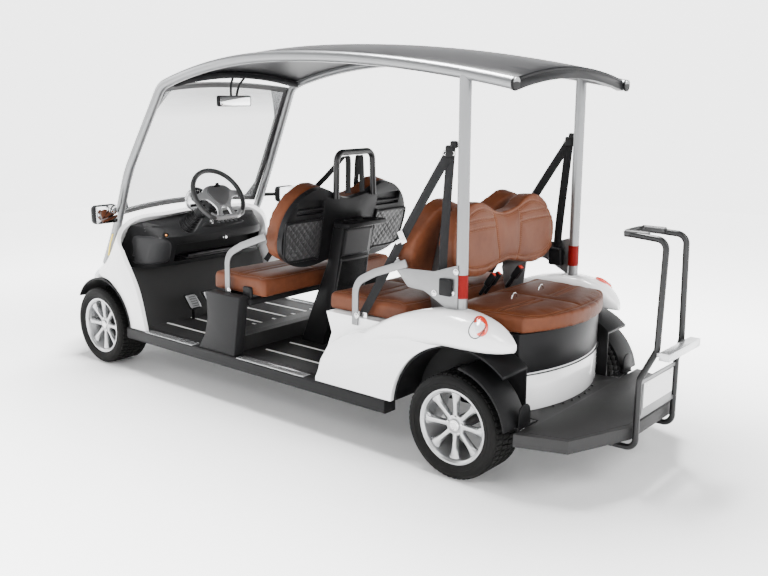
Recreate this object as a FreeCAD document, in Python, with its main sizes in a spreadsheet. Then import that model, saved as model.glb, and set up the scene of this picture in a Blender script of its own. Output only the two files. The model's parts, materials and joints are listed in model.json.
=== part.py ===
import FreeCAD, Part
import math
import os
import re
import Sketcher
from FreeCAD import Rotation, Vector

# A golf cart with a front bench, a second bench and a seat that faces the rear.
# Lengths are in millimetres and angles in degrees. Places along X are measured
# from the rear axle, places along Y from the middle plane and heights from the
# ground; every sub-part is then placed so that the vehicle's box is centred.

SIZES = {
    # the whole vehicle
    "wheelbase": 2607, "front_overhang": 443, "rear_overhang": 743, "panel": 22,
    "joint_gap": 0.3, "running_gap": 6, "overrun": 40,
    # wheels
    "tyre_radius": 229.8, "tyre_width": 205, "wheels_outer_y": 600, "bead_radius": 152,
    "flange_radius": 165, "rim_width": 178, "rim_wall": 7, "well_radius": 138,
    "spoke_root_width": 30, "spoke_tip_width": 46, "spoke_depth": 18, "face_inset": 20,
    "hub_radius": 44, "hub_cap_radius": 30, "hub_cap_height": 9, "stub_radius": 16,
    # axles and knuckles
    "kingpin_y": 452, "kingpin_radius": 12, "kingpin_height": 128, "ear_radius": 24, "ear_depth": 14,
    "ear_spread": 84, "beam_radius": 25, "axle_radius": 32, "upright_width": 56, "upright_depth": 24,
    "motor_length": 260, "motor_width": 240, "motor_height": 190, "motor_drop": 8,
    "spring_span": 290, "spring_width": 44, "spring_depth": 12, "spring_camber": 14,
    # frame
    "rail_y": 225, "rail_width": 50, "rail_height": 56, "rail_low_z": 189, "kick_low_z": 292,
    "frame_front_x": 2900, "frame_rear_x": -560, "front_kick_x": 2304, "rear_kick_x": 376,
    "kick_run": 60, "tail_drop_x": -148, "cross_width": 60,
    "cross_front_x": 2860, "cross_toe_x": 2200, "cross_mid_x": 1300, "cross_seat_x": 600,
    # floor and sills
    "floor_depth": 17, "floor_y": 500, "floor_front_x": 2300, "floor_rear_x": 380,
    "step_front_x": 1700, "step_rear_x": 1450, "step_rise": 78, "step_slope": 60,
    "sill_y": 582, "sill_low_z": 194, "sill_front_x": 2346, "sill_rear_x": 372, "sill_round": 14,
    # front body
    "front_arch_radius": 300, "liner_radius": 284, "liner_back": 9, "liner_up": 6, "liner_depth": 9,
    "liner_tip_z": 379, "front_half_width": 578,
    "cowl_rear_x": 2176, "cowl_height_z": 915, "liner_inner_y": 268,
    "arch_foot_x": 2322, "arch_end_z": 548, "arch_inner_y": 436,
    "bumper_depth": 70, "bumper_low_z": 232, "bumper_top_z": 398, "bumper_half_width": 400,
    "headlamp_x": 2850, "headlamp_y": 400, "headlamp_z": 500,
    "headlamp_length": 150, "headlamp_width": 120, "headlamp_height": 70,
    # firewall and dashboard
    "toe_foot_x": 2248, "toe_top_x": 2392, "toe_depth": 14, "toe_half_width": 500,
    "dash_low_z": 596, "dash_face_x": 2400, "dash_lip_z": 760, "dash_top_z": 846,
    "dash_front_x": 2520, "dash_half_width": 480, "dash_reach": 195, "dash_crown": 28,
    "shelf_left_y": 288, "shelf_right_y": -430, "shelf_low_z": 622, "shelf_depth": 190,
    "dash_wall": 14, "lip_depth": 34,
    # steering
    "wheel_y": 255, "wheel_x": 1862, "wheel_z": 1038, "column_tilt": 33, "rim_radius": 161,
    "rim_thickness": 14, "flat_drop": 134, "spoke_width": 30, "spoke_thick": 10,
    "boss_radius": 34, "boss_depth": 52, "pad_width": 152, "pad_height": 128, "pad_depth": 24,
    "column_radius": 27, "column_length": 480, "boot_radius": 52, "boot_start": 200, "boot_end": 340,
    "hub_shroud_radius": 42, "hub_shroud_length": 120,
    "pod_radius": 66, "pod_length": 96, "pod_x": 2030, "pod_z": 1022,
    "stalk_radius": 7, "stalk_length": 120,
    # pedals
    "pedal_x": 2205, "pedal_z": 372, "pedal_first_y": 205, "pedal_second_y": 70, "pedal_width": 82,
    "pedal_height": 100, "pedal_depth": 12, "pedal_tilt": 40, "stem_radius": 9,
    # screen
    "glass_depth": 5, "glass_low_x": 2428, "glass_low_z": 934, "glass_low_y": 488,
    "glass_mid_x": 2252, "glass_mid_z": 1280, "glass_mid_y": 484,
    "glass_top_x": 2052, "glass_top_z": 1606, "glass_top_y": 436, "glass_bow": 60,
    "seal_width": 30, "seal_depth": 16,
    # roof and its tubes
    "tube_radius": 25, "roof_rail_y": 478, "rail_peak_x": 1161, "rail_peak_z": 1768,
    "rail_front_x": 1925, "rail_front_z": 1668, "rail_rear_x": -200, "rail_rear_z": 1632,
    "pillar_foot_x": 2625, "pillar_foot_y": 505, "pillar_foot_z": 604,
    "pillar_low_x": 2448, "pillar_low_y": 537, "pillar_low_z": 830,
    "pillar_high_x": 2290, "pillar_high_y": 543, "pillar_high_z": 1170,
    "pillar_top_x": 2022, "pillar_top_y": 487, "pillar_top_z": 1636,
    "pillar_bend": 110, "pillar_sweep": 900,
    "rear_pillar_x": 35, "rear_pillar_y": 478, "rear_pillar_foot_z": 655,
    "roof_half_width": 452, "roof_depth": 16, "roof_crown": 50, "roof_front_x": 2006,
    "roof_rear_x": -190, "roof_seat": 6, "bar_height": 34, "bar_depth": 30,
    "bar_front_x": 1950, "bar_middle_x": 620, "bar_rear_x": -176,
    # mirrors
    "mirror_x": 2328, "mirror_y": 690, "mirror_z": 940, "mirror_width": 150, "mirror_height": 106,
    "mirror_depth": 58, "mirror_arm_radius": 11, "mirror_arm_reach": 35, "inner_mirror_x": 2000, "inner_mirror_z": 1556,
    "inner_mirror_width": 250, "inner_mirror_height": 62, "inner_mirror_depth": 26,
    "bracket_arm_y": 42, "bracket_arm_radius": 7,
    # front seat
    "pedestal_outer_y": 572, "pedestal_inner_y": 506, "pedestal_top_z": 583,
    "pedestal_top_front_x": 1609, "pedestal_top_rear_x": 1345, "pedestal_waist_x": 1606,
    "pedestal_waist_z": 440, "pedestal_foot_front_x": 1690, "pedestal_foot_rear_x": 1400,
    "seat_tube_radius": 20, "seat_tube_x": 1290, "seat_tube_z": 548, "seat_front_tube_x": 1560,
    "cushion_half_width": 512, "cushion_depth": 97, "cushion_round": 32,
    "front_cushion_x": 1645, "front_cushion_rear_x": 1225,
    "back_half_width": 488, "back_height": 440, "back_depth": 92, "back_tilt": 13,
    "front_back_x": 1178, "front_back_low_z": 722, "shell_depth": 34, "shell_inset": 14,
    "grab_width": 190, "grab_height": 72, "grab_y": 300, "grab_above": 330,
    "column_half_width": 118, "column_low_x": 1370, "column_low_rear_x": 1200, "column_top_x": 1062,
    "column_top_z": 950, "column_gap": 1.56, "tray_depth": 92, "tray_half_width": 150, "tray_thick": 26,
    "hoop_radius": 16, "hoop_half_width": 145, "hoop_foot_z": 1070, "hoop_top_z": 1303,
    "hoop_x": 1062, "hoop_bend": 46,
    # armrests
    "arm_y": 524, "arm_width": 36, "arm_thick": 9, "arm_rise": 325, "arm_reach": 302,
    "front_arm_foot_x": 1487, "second_arm_foot_x": 604, "arm_bend": 150,
    # second seat
    "second_cushion_x": 830, "second_cushion_rear_x": 330, "second_cushion_low_z": 592,
    "second_cushion_depth": 85, "second_cushion_half_width": 478, "second_back_x": 340, "second_back_low_z": 742,
    "second_back_height": 402, "strut_y": 300, "strut_depth": 8, "strut_top_z": 1030, "strut_foot_x": 225,
    "strut_foot_front_x": 310,
    # rear-facing seat
    "rear_cushion_front_x": 205, "rear_cushion_x": -312, "rear_cushion_corner_x": -200,
    "rear_cushion_corner_y": 366, "rear_cushion_low_z": 614, "rear_cushion_depth": 78,
    "rear_cushion_half_width": 396, "rear_back_x": 196, "rear_back_low_z": 790,
    "rear_back_height": 350, "rear_back_half_width": 440, "rear_back_tilt": -4,
    # rear body
    "rear_arch_radius": 342, "seat_base_z": 592, "seat_base_x": 790, "base_foot_x": 806,
    "base_tail_x": -36, "rear_side_y": 576, "wing_front_x": 640, "wing_tip_x": -226,
    "base_waist_x": 757, "base_waist_z": 494, "base_half_width": 509.3, "shoulder_step": 60, "shoulder_in": 16,
    "shoulder_rise": 14,
    "guard_radius": 264, "guard_depth": 10, "guard_inner_y": 440, "guard_start": 98, "guard_end": 171,
    "guard_foot": 30,
    "rear_liner_inner_y": 366,
    "apron_corner_x": -176, "apron_corner_y": 356, "apron_rear_x": -262, "apron_low_z": 438,
    "apron_wall": 16,
    # brackets, reels and belts
    "bracket_depth": 6, "bracket_low_z": 695, "bracket_high_z": 898, "bracket_reach": 350,
    "reel_x": 132, "reel_y": 480, "reel_z": 795,
    "reel_width": 76, "reel_height": 92, "reel_depth": 46, "belt_width": 44, "belt_depth": 3, "belt_y": 492,
    "guide_x": 96, "guide_z": 1360, "guide_width": 34, "guide_height": 62,
    "tongue_x": 341, "tongue_z": 989, "anchor_x": 574, "anchor_z": 606,
    # platform and grab bar
    "platform_top_z": 268, "platform_depth": 54, "platform_plate": 22.7, "platform_lip": 14, "mat_depth": 2,
    "mat_margin": 22, "platform_front_x": -150, "platform_side_x": -292,
    "platform_corner_y": 572, "platform_kink_x": -500, "platform_kink_y": 500,
    "platform_rear_x": -618, "platform_rear_y": 196, "platform_neck_y": 352,
    "bar_tube_radius": 13, "bar_bend": 42, "bar_hook_x": -485, "bar_stand_off": 4, "handle_x": -485, "handle_y": 83, "handle_z": 1041,
    "bar_top_x": -676, "bar_top_y": 100, "bar_top_z": 1030, "bar_knee_y": 124, "bar_knee_z": 588,
    "bar_low_y": 186, "bar_low_top_z": 470, "plate_low_z": 306, "plate_high_z": 456, "plate_half_width": 152,
    "plate_thick": 4, "lamp_bar_half_width": 160, "lamp_bar_height": 32, "lamp_bar_depth": 44,
    "lamp_bar_z": 574, "lamp_arm_y": 131, "lamp_arm_width": 16,
    "tail_lamp_x": -105, "tail_lamp_y": 543, "tail_lamp_z": 677,
    "tail_lamp_length": 64, "tail_lamp_width": 30, "tail_lamp_height": 104,
    # battery
    "battery_front_x": 725, "battery_rear_x": 395, "battery_half_width": 330, "battery_height": 250,
}

# Places worked out from the sizes, each as the text of an expression.
PLACES = {
    "rear_axle_x": "(rear_overhang - wheelbase - front_overhang) / 2",
    "axle_z": "tyre_radius",
    "wheel_mid_y": "wheels_outer_y - tyre_width / 2",
    "floor_low_z": "rail_low_z + rail_height",
    "floor_z": "floor_low_z + floor_depth",
    "nose_x": "wheelbase + front_overhang",
    "tail_x": "0 - rear_overhang",
    "face_y": "rim_width / 2 - face_inset",
    "grab_low_x": "platform_rear_x - bar_tube_radius - bar_stand_off",
    "platform_low_z": "platform_top_z - platform_depth",
    "pillar_face_y": "rear_pillar_y + tube_radius + joint_gap",
    "second_arm_y": "pillar_face_y + bracket_depth + joint_gap + arm_thick / 2",
}

doc = FreeCAD.newDocument("golf_cart")
sheet = doc.addObject("Spreadsheet::Sheet", "Sizes")
for row, (name, size) in enumerate(SIZES.items(), start=1):
    cell = f"A{row}"
    sheet.set(cell, str(size))
    sheet.setAlias(cell, name)
doc.recompute()

NODES = []


def bound(text):
    """The text with each of its names written as a reference to the sheet."""
    def swap(match):
        word = match.group(0)
        if word in PLACES:
            return f"({bound(PLACES[word])})"
        return f"Sizes.{word}" if word in SIZES else word
    return re.sub(r"[a-z][a-z_0-9]*", swap, str(text))


def val(text):
    """The length in millimetres that the text stands for."""
    return float(sheet.evalExpression(bound(text)))


def vec(x, y, z):
    return Vector(val(x), val(y), val(z))


def between(low, high, share):
    """The text of a place a share of the way from low to high."""
    return f"(({low}) + (({high}) - ({low})) * {share})"


def node(obj, label, x="0", y="0", z="0", turn=None):
    """Name a sub-part and place it from the rear axle to the vehicle's middle."""
    obj.Label = label
    if turn is not None:
        obj.Placement = FreeCAD.Placement(Vector(), turn)
    obj.setExpression("Placement.Base.x", bound(f"rear_axle_x + ({x})"))
    obj.setExpression("Placement.Base.y", bound(y))
    obj.setExpression("Placement.Base.z", bound(z))
    NODES.append(obj)
    return obj


def feature(shape, name="Shape"):
    obj = doc.addObject("Part::Feature", name)
    obj.Shape = shape
    return obj


def body(name="Body"):
    return doc.addObject("PartDesign::Body", name)


def sketch(owner, plane, points, shift="0"):
    """A closed outline of straight lines, each corner bound to the sheet."""
    out = owner.newObject("Sketcher::SketchObject", "Outline")
    out.AttachmentSupport = [([f for f in owner.Origin.OriginFeatures if f.Role == plane][0], "")]
    out.MapMode = "FlatFace"
    side = "0 - " if plane == "XZ_Plane" else ""
    out.setExpression("AttachmentOffset.Base.z", bound(f"{side}({shift})"))
    places = [(val(u), val(v)) for u, v in points]
    count = len(points)
    for i in range(count):
        start, end = places[i], places[(i + 1) % count]
        out.addGeometry(Part.LineSegment(Vector(*start, 0), Vector(*end, 0)), False)
    for i in range(count):
        out.addConstraint(Sketcher.Constraint("Coincident", i, 2, (i + 1) % count, 1))
    for i, (u, v) in enumerate(points):
        for kind, text, place in (("DistanceX", u, places[i][0]), ("DistanceY", v, places[i][1])):
            tag = out.addConstraint(Sketcher.Constraint(kind, -1, 1, i, 1, place))
            out.setExpression(f"Constraints[{tag}]", bound(text))
    return out


def slab(owner, profile, thick, kind="PartDesign::Pad"):
    """A pad or pocket that runs to both sides of its sketch."""
    out = owner.newObject(kind, "Slab")
    out.Profile = profile
    out.Midplane = True
    out.setExpression("Length", bound(thick))
    profile.Visibility = False
    return out


def plate(name, plane, points, thick, shift="0"):
    """A body with one slab, whose sketch lies in the middle of its thickness."""
    owner = body(name)
    slab(owner, sketch(owner, plane, points, shift), thick)
    return owner


def box_points(u_low, u_high, v_low, v_high):
    return [(u_low, v_low), (u_high, v_low), (u_high, v_high), (u_low, v_high)]


def soften(owner, radius, wanted):
    """Round the edges of a body for which wanted(edge) is true."""
    doc.recompute()
    edges = [f"Edge{i}" for i, edge in enumerate(owner.Shape.Edges, start=1) if wanted(edge)]
    out = owner.newObject("PartDesign::Fillet", "Round")
    out.Base = (owner.Group[-2], edges)
    out.setExpression("Radius", bound(radius))
    return out


def along(axis):
    """A test for straight edges that run along one axis."""
    def test(edge):
        if not isinstance(edge.Curve, Part.Line):
            return False
        return abs(abs(edge.Curve.Direction.dot(axis)) - 1) < 1e-6
    return test


def mirrored(obj):
    out = doc.addObject("Part::Mirroring", "Right")
    out.Source = obj
    out.Normal = Vector(0, 1, 0)
    return out


def group(objects):
    out = doc.addObject("Part::Compound", "Set")
    out.Links = objects
    return out


def pair(obj, label):
    """The left piece and its mirror image as one node."""
    return node(group([obj, mirrored(obj)]), label)


def rounded_path(points, bends):
    """A path of straight runs with a tangent arc at each inner point."""
    bends = bends if isinstance(bends, list) else [bends] * (len(points) - 2)
    edges, last = [], points[0]
    for i in range(1, len(points) - 1):
        back = (points[i - 1] - points[i]).normalize()
        ahead = (points[i + 1] - points[i]).normalize()
        half = back.getAngle(ahead) / 2
        reach = bends[i - 1] / math.tan(half)
        start, end = points[i] + back * reach, points[i] + ahead * reach
        middle_way = (back + ahead).normalize()
        middle = points[i] + middle_way * (bends[i - 1] / math.sin(half) - bends[i - 1])
        if (start - last).Length > 1e-3:
            edges.append(Part.LineSegment(last, start).toShape())
        edges.append(Part.Arc(start, middle, end).toShape())
        last = end
    edges.append(Part.LineSegment(last, points[-1]).toShape())
    return Part.Wire(edges)


def piped(path, radius):
    """A round bar along a path."""
    start = path.OrderedVertexes[0].Point
    first = path.OrderedEdges[0]
    way = first.tangentAt(first.FirstParameter)
    if (first.valueAt(first.FirstParameter) - start).Length > 1e-3:
        way = first.tangentAt(first.LastParameter) * -1
    ring = Part.Wire(Part.Circle(start, way, radius).toShape())
    return path.makePipeShell([ring], True, False)


def flip_y(shape):
    return shape.mirror(Vector(), Vector(0, 1, 0))


def both_sides(shape):
    return Part.makeCompound([shape, flip_y(shape)])


def lofted(sections, ruled=False):
    return Part.makeLoft(sections, True, ruled)


def put(shape, place, turn):
    """The shape turned and moved, with the move in its geometry."""
    return shape.transformed(FreeCAD.Placement(place, turn).toMatrix(), True)


def closed_curve(points):
    curve = Part.BSplineCurve()
    curve.interpolate(points, PeriodicFlag=True)
    return Part.Wire(curve.toShape())


def bar_box(low, high):
    size = high - low
    return Part.makeBox(size.x, size.y, size.z, low)


# Wheels

def tyre(label, x, y, turn):
    """A tyre as a ring with sloping shoulders and a bead on each side."""
    owner = body("Tyre")
    half = "tyre_width / 2"
    bead = "rim_width / 2 - rim_wall - joint_gap"
    side = [
        (bead, "bead_radius"), (bead, "flange_radius + joint_gap"), (half, "bead_radius + (tyre_radius - bead_radius) * 0.45"),
        (f"{half} * 0.97", "bead_radius + (tyre_radius - bead_radius) * 0.80"),
        (f"{half} * 0.84", "bead_radius + (tyre_radius - bead_radius) * 0.96"),
        (f"{half} * 0.62", "tyre_radius"),
    ]
    points = side + [(f"0 - ({u})", v) for u, v in reversed(side)]
    ring = owner.newObject("PartDesign::Revolution", "Ring")
    ring.Profile = sketch(owner, "YZ_Plane", points)
    ring.ReferenceAxis = (owner.Origin.OriginFeatures[1], "")
    return node(owner, label, x, y, "axle_z", turn)


def rim(label, x, y, turn):
    """A rim: barrel, hub with its cap, and eight tapered spokes."""
    owner = body("Rim")
    half = "rim_width / 2"
    profile = [
        (half, "flange_radius"), (f"{half} - rim_wall", "flange_radius"),
        (f"{half} - rim_wall", "bead_radius - joint_gap"), (f"{half} * 0.50", "bead_radius - joint_gap"),
        (f"{half} * 0.30", "well_radius"), (f"0 - {half} * 0.50", "well_radius"),
        (f"0 - {half} * 0.62", "bead_radius - joint_gap"),
        (f"0 - {half} + rim_wall", "bead_radius - joint_gap"),
        (f"0 - {half} + rim_wall", "flange_radius"), (f"0 - {half}", "flange_radius"),
        (f"0 - {half}", "bead_radius - rim_wall"), (f"0 - {half} * 0.64", "bead_radius - rim_wall"),
        (f"0 - {half} * 0.52", "well_radius - rim_wall"), (f"{half} * 0.28", "well_radius - rim_wall"),
        (f"{half} * 0.48", "bead_radius - rim_wall"), (half, "bead_radius - rim_wall"),
    ]
    barrel = owner.newObject("PartDesign::Revolution", "Barrel")
    barrel.Profile = sketch(owner, "YZ_Plane", profile)
    axis = (owner.Origin.OriginFeatures[1], "")
    barrel.ReferenceAxis = axis
    hub = owner.newObject("PartDesign::Revolution", "Hub")
    hub.Profile = sketch(owner, "YZ_Plane", [
        ("face_y", "0"), ("face_y", "hub_cap_radius"),
        ("face_y - hub_cap_height", "hub_radius"), ("face_y - spoke_depth", "hub_radius"),
        ("face_y - spoke_depth", "stub_radius + joint_gap"),
        ("face_y - hub_cap_height", "stub_radius + joint_gap"), ("face_y - hub_cap_height", "0"),
    ])
    hub.ReferenceAxis = axis
    reach = "bead_radius - rim_wall / 2"
    spoke = slab(owner, sketch(owner, "XZ_Plane", [
        ("0 - spoke_root_width / 2", "hub_radius - rim_wall"), ("spoke_root_width / 2", "hub_radius - rim_wall"),
        ("spoke_tip_width / 2", reach), ("0 - spoke_tip_width / 2", reach),
    ], "face_y - hub_cap_height / 2 - spoke_depth / 2"), "spoke_depth - hub_cap_height")
    spokes = owner.newObject("PartDesign::PolarPattern", "Spokes")
    spokes.Originals = [spoke]
    spokes.Axis = axis
    spokes.Angle = 360
    spokes.Occurrences = 8
    owner.Tip = spokes
    return node(owner, label, x, y, "axle_z", turn)


def wheels():
    outward = {"left": (Rotation(), ""), "right": (Rotation(Vector(0, 0, 1), 180), "0 - ")}
    for end, x in (("front", "wheelbase"), ("rear", "0")):
        for side, (turn, sign) in outward.items():
            tyre(f"tyre_{end}_{side}", x, f"{sign}(wheel_mid_y)", turn)
            rim(f"rim_{end}_{side}", x, f"{sign}(wheel_mid_y)", turn)


# Axles, knuckles, springs and frame

def rod(low, high, radius):
    return Part.makeCylinder(radius, (high - low).Length, low, high - low)


def knuckle(label, sign):
    """Kingpin, upright and stub axle, at the origin of the kingpin."""
    pin_half = val("kingpin_height / 2")
    out = rod(Vector(0, 0, -pin_half), Vector(0, 0, pin_half), val("kingpin_radius"))
    half = val("upright_width / 2")
    block_y = val("kingpin_radius + upright_depth")
    high = val("ear_spread / 2 - running_gap")
    block = bar_box(Vector(-half, -val("kingpin_radius"), -high), Vector(half, block_y, high))
    reach = val("wheel_mid_y + face_y - hub_cap_height - joint_gap - kingpin_y")
    stub = rod(Vector(0, block_y, 0), Vector(0, reach, 0), val("stub_radius"))
    shoulder_end = val("wheel_mid_y + face_y - spoke_depth - joint_gap - kingpin_y")
    shoulder = rod(Vector(0, block_y, 0), Vector(0, shoulder_end, 0), val("stub_radius * 2"))
    out = out.fuse([block, stub, shoulder]).removeSplitter()
    if sign < 0:
        out = flip_y(out)
    side = "kingpin_y" if sign > 0 else "0 - kingpin_y"
    return node(feature(out, "Knuckle"), label, "wheelbase", side, "axle_z")


def front_axle():
    """Beam between the kingpins, with two ears round each pin."""
    z = val("axle_z")
    end_y = val("kingpin_y - ear_radius - running_gap - upright_depth / 2")
    out = rod(Vector(0, -end_y, z), Vector(0, end_y, z), val("beam_radius"))
    spread, deep, round_r = val("ear_spread / 2"), val("ear_depth"), val("ear_radius")
    pin_y = val("kingpin_y")
    side = bar_box(Vector(-round_r, end_y - deep, z - spread - deep), Vector(round_r, end_y, z + spread + deep))
    for low in (z + spread, z - spread - deep):
        ear = bar_box(Vector(-round_r, end_y - deep, low), Vector(round_r, pin_y, low + deep))
        ear = ear.fuse(Part.makeCylinder(round_r, deep, Vector(0, pin_y, low)))
        side = side.fuse(ear)
    bore = Part.makeCylinder(val("kingpin_radius + joint_gap"), 4 * spread, Vector(0, pin_y, z - 2 * spread))
    side = side.cut(bore)
    out = out.fuse([side, flip_y(side)]).removeSplitter()
    out.translate(vec("wheelbase", "0", "0"))
    return out


def rear_axle():
    """Axle tube with its stubs, and the drive motor as one plain block."""
    z = val("axle_z")
    shoulder = val("wheel_mid_y + face_y - spoke_depth - joint_gap")
    reach = val("wheel_mid_y + face_y - hub_cap_height - joint_gap")
    out = rod(Vector(0, -shoulder, z), Vector(0, shoulder, z), val("axle_radius"))
    out = out.fuse(rod(Vector(0, -reach, z), Vector(0, reach, z), val("stub_radius")))
    long, wide, high = val("motor_length"), val("motor_width"), val("motor_height")
    low = Vector(-long / 2, -wide / 2, z - high / 2 - val("motor_drop"))
    return out.fuse(bar_box(low, low + Vector(long, wide, high))).removeSplitter()


def axles():
    return node(feature(Part.makeCompound([front_axle(), rear_axle()]), "Axles"), "axles")


def spring_shape(x, seat_z):
    """One leaf spring as a bowed strip with its clamp on the axle."""
    span, deep, camber = val("spring_span"), val("spring_depth"), val("spring_camber")
    top = val("kick_low_z - joint_gap")

    def arc_at(drop):
        return Part.Arc(Vector(x - span / 2, 0, top - drop), Vector(x, 0, top - camber - drop),
                        Vector(x + span / 2, 0, top - drop)).toShape()
    upper, lower = arc_at(0), arc_at(deep)
    ends = [Part.LineSegment(upper.Vertexes[i].Point, lower.Vertexes[i].Point).toShape() for i in (0, 1)]
    face = Part.Face(Part.Wire(Part.__sortEdges__([upper, lower] + ends)))
    wide = val("spring_width")
    leaf = face.extrude(Vector(0, wide, 0))
    clamp = bar_box(Vector(x - wide / 2, 0, seat_z), Vector(x + wide / 2, wide, top - camber - deep / 2))
    leaf = leaf.fuse(clamp)
    leaf.translate(Vector(0, val("rail_y") - wide / 2, 0))
    return leaf.removeSplitter()


def leaf_springs():
    front = spring_shape(val("wheelbase"), val("axle_z + beam_radius + joint_gap"))
    rear = spring_shape(0, val("axle_z + axle_radius + joint_gap"))
    return node(feature(Part.makeCompound([front, flip_y(front), rear, flip_y(rear)]), "Springs"),
                "leaf_springs")


def chassis_frame():
    """Two rails that kick up over the axles, with five cross members."""
    owner = body("Frame")
    low, high = "rail_low_z", "kick_low_z"
    tall = "rail_height"
    line = [
        ("frame_rear_x", low), ("tail_drop_x - kick_run", low), ("tail_drop_x", high),
        ("rear_kick_x - kick_run", high), ("rear_kick_x", low),
        ("front_kick_x", low), ("front_kick_x + kick_run", high), ("frame_front_x", high),
    ]
    points = line + [(u, f"{v} + {tall}") for u, v in reversed(line)]
    for side in ("rail_y", "0 - rail_y"):
        slab(owner, sketch(owner, "XZ_Plane", points, side), "rail_width")
        if side == "rail_y":
            members = [("cross_front_x", high), ("cross_toe_x", low), ("cross_mid_x", low),
                       ("cross_seat_x", low), ("frame_rear_x + cross_width / 2", low)]
            for x, z in members:
                slab(owner, sketch(owner, "XZ_Plane", box_points(
                    f"{x} - cross_width / 2", f"{x} + cross_width / 2", z, f"{z} + {tall}")),
                    "2 * rail_y")
    return node(owner, "chassis_frame")


def battery_pack():
    owner = body("Battery")
    block = owner.newObject("PartDesign::AdditiveBox", "Block")
    block.setExpression("Length", bound("battery_front_x - battery_rear_x"))
    block.setExpression("Width", bound("2 * battery_half_width"))
    block.setExpression("Height", bound("battery_height"))
    return node(owner, "battery_pack", "battery_rear_x", "0 - battery_half_width", "floor_z")


# Floor, sills and step plates

def floor_pan():
    """Flat floor with a raised step behind the front footwell, and the toe board."""
    top, low = "floor_z", "floor_low_z"
    points = [
        ("floor_rear_x", low), ("floor_front_x", low), ("floor_front_x", top), ("step_front_x", top),
        ("step_front_x - step_slope", "floor_z + step_rise * 0.8"),
        ("step_rear_x + step_slope", "floor_z + step_rise"), ("step_rear_x", "floor_z + step_rise"),
        ("step_rear_x", top), ("floor_rear_x", top),
    ]
    owner = plate("Floor", "XZ_Plane", points, "2 * floor_y")
    toe = [("toe_foot_x", "floor_z"), ("toe_foot_x + toe_depth", "floor_z"),
           ("toe_top_x + toe_depth", "dash_low_z"), ("toe_top_x", "dash_low_z")]
    slab(owner, sketch(owner, "XZ_Plane", toe), "2 * toe_half_width")
    return node(owner, "floor_pan")


def side_sills():
    owner = body("Sill")
    points = box_points("floor_y", "sill_y", "sill_low_z", "floor_z")
    slab(owner, sketch(owner, "YZ_Plane", points, "(sill_front_x + sill_rear_x) / 2"),
         "sill_front_x - sill_rear_x")
    soften(owner, "sill_round", lambda e: along(Vector(1, 0, 0))(e) and e.CenterOfMass.y > val("floor_y + overrun"))
    return pair(owner, "side_sills")


# Front body, its liners, bumper and lamps

# x share from the cowl's rear to the nose, half width share, then crown and
# shoulder heights as shares of the cowl's height
FRONT_SHELL_SHARES = [
    (-0.02, 0.985, 1.000, 0.990), (0.26, 0.990, 1.000, 0.965), (0.38, 0.985, 0.955, 0.800),
    (0.52, 0.965, 0.880, 0.665), (0.68, 0.900, 0.770, 0.590), (0.82, 0.775, 0.640, 0.540),
    (0.93, 0.600, 0.520, 0.480), (1.00, 0.420, 0.430, 0.420),
]


def front_section(x_share, half_share, crown_share, shoulder_share, inset, low_z):
    """One section across the bonnet: straight sides, round shoulders, crowned top."""
    x = val(between("cowl_rear_x", "nose_x", x_share)) - (inset if x_share == 1 else 0)
    half = val("front_half_width") * half_share - inset
    crown = val("cowl_height_z") * crown_share - inset
    shoulder = val("cowl_height_z") * shoulder_share - inset
    side = [(1.0, 0.0), (1.0, 0.72), (0.95, 0.93), (0.80, 1.02), (0.45, 1.0)]
    points = []
    for wide, tall in side:
        top = shoulder if wide > 0.7 else shoulder + (crown - shoulder) * 0.72
        points.append(Vector(x, half * wide, low_z + (top - low_z) * min(tall, 1.0)))
    points[3].z = low_z + (shoulder + (crown - shoulder) * 0.25 - low_z)
    curve = Part.BSplineCurve()
    left = points
    right = [Vector(p.x, -p.y, p.z) for p in reversed(points)]
    curve.interpolate(left[1:] + [Vector(x, 0, crown)] + right[:-1])
    edges = [Part.LineSegment(right[-1], left[0]).toShape(), Part.LineSegment(left[0], left[1]).toShape(),
             curve.toShape(), Part.LineSegment(right[-2], right[-1]).toShape()]
    return Part.Wire(edges)


def front_shell(inset, low_z):
    return lofted([front_section(*row, inset, low_z) for row in FRONT_SHELL_SHARES])


def front_side_profile():
    """The side view of the cowl, with its swept rear edge, as a wide prism."""
    x0, x1 = val("cowl_rear_x"), val("nose_x + overrun")
    wide = val("2 * front_half_width + overrun")
    z0, z1 = val("floor_z"), val("cowl_height_z")
    edge = [(0.0, 0.0), (0.022, 0.12), (0.075, 0.36), (0.150, 0.54), (0.222, 0.72), (0.245, 0.88), (0.262, 1.01)]
    span = x1 - x0
    points = [Vector(x0 + u * span, 0, z0 + v * (z1 - z0)) for u, v in edge]
    curve = Part.BSplineCurve()
    curve.interpolate(points)
    top = Vector(x1, 0, points[-1].z)
    rest = [Part.LineSegment(points[-1], top).toShape(), Part.LineSegment(top, Vector(x1, 0, z0)).toShape(),
            Part.LineSegment(Vector(x1, 0, z0), points[0]).toShape()]
    face = Part.Face(Part.Wire([curve.toShape()] + rest))
    out = face.extrude(Vector(0, wide, 0))
    out.translate(Vector(0, -wide / 2, 0))
    return out


def wheel_well(x, radius, inner_y, outer_y):
    """A round space about a wheel's axis, on one side."""
    return Part.makeCylinder(radius, outer_y - inner_y, Vector(x, inner_y, val("axle_z")), Vector(0, 1, 0))


def front_body():
    """White cowl with both fenders: a hollow shell with its arches cut."""
    low = val("floor_z")
    shell = front_shell(0, low).cut(front_shell(val("panel"), low - val("overrun")))
    shell = shell.common(front_side_profile())
    wells = [arch_space(), liner_drum(val("joint_gap"), val("liner_inner_y"))]
    for well in wells:
        shell = shell.cut(well).cut(flip_y(well))
    bumper = bumper_cut()
    shell = shell.cut(bumper)
    lamp = headlamp_shape(val("joint_gap"))
    shell = shell.cut(lamp).cut(flip_y(lamp))
    solids = sorted(shell.Solids, key=lambda s: s.Volume)
    return solids[-1]


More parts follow.
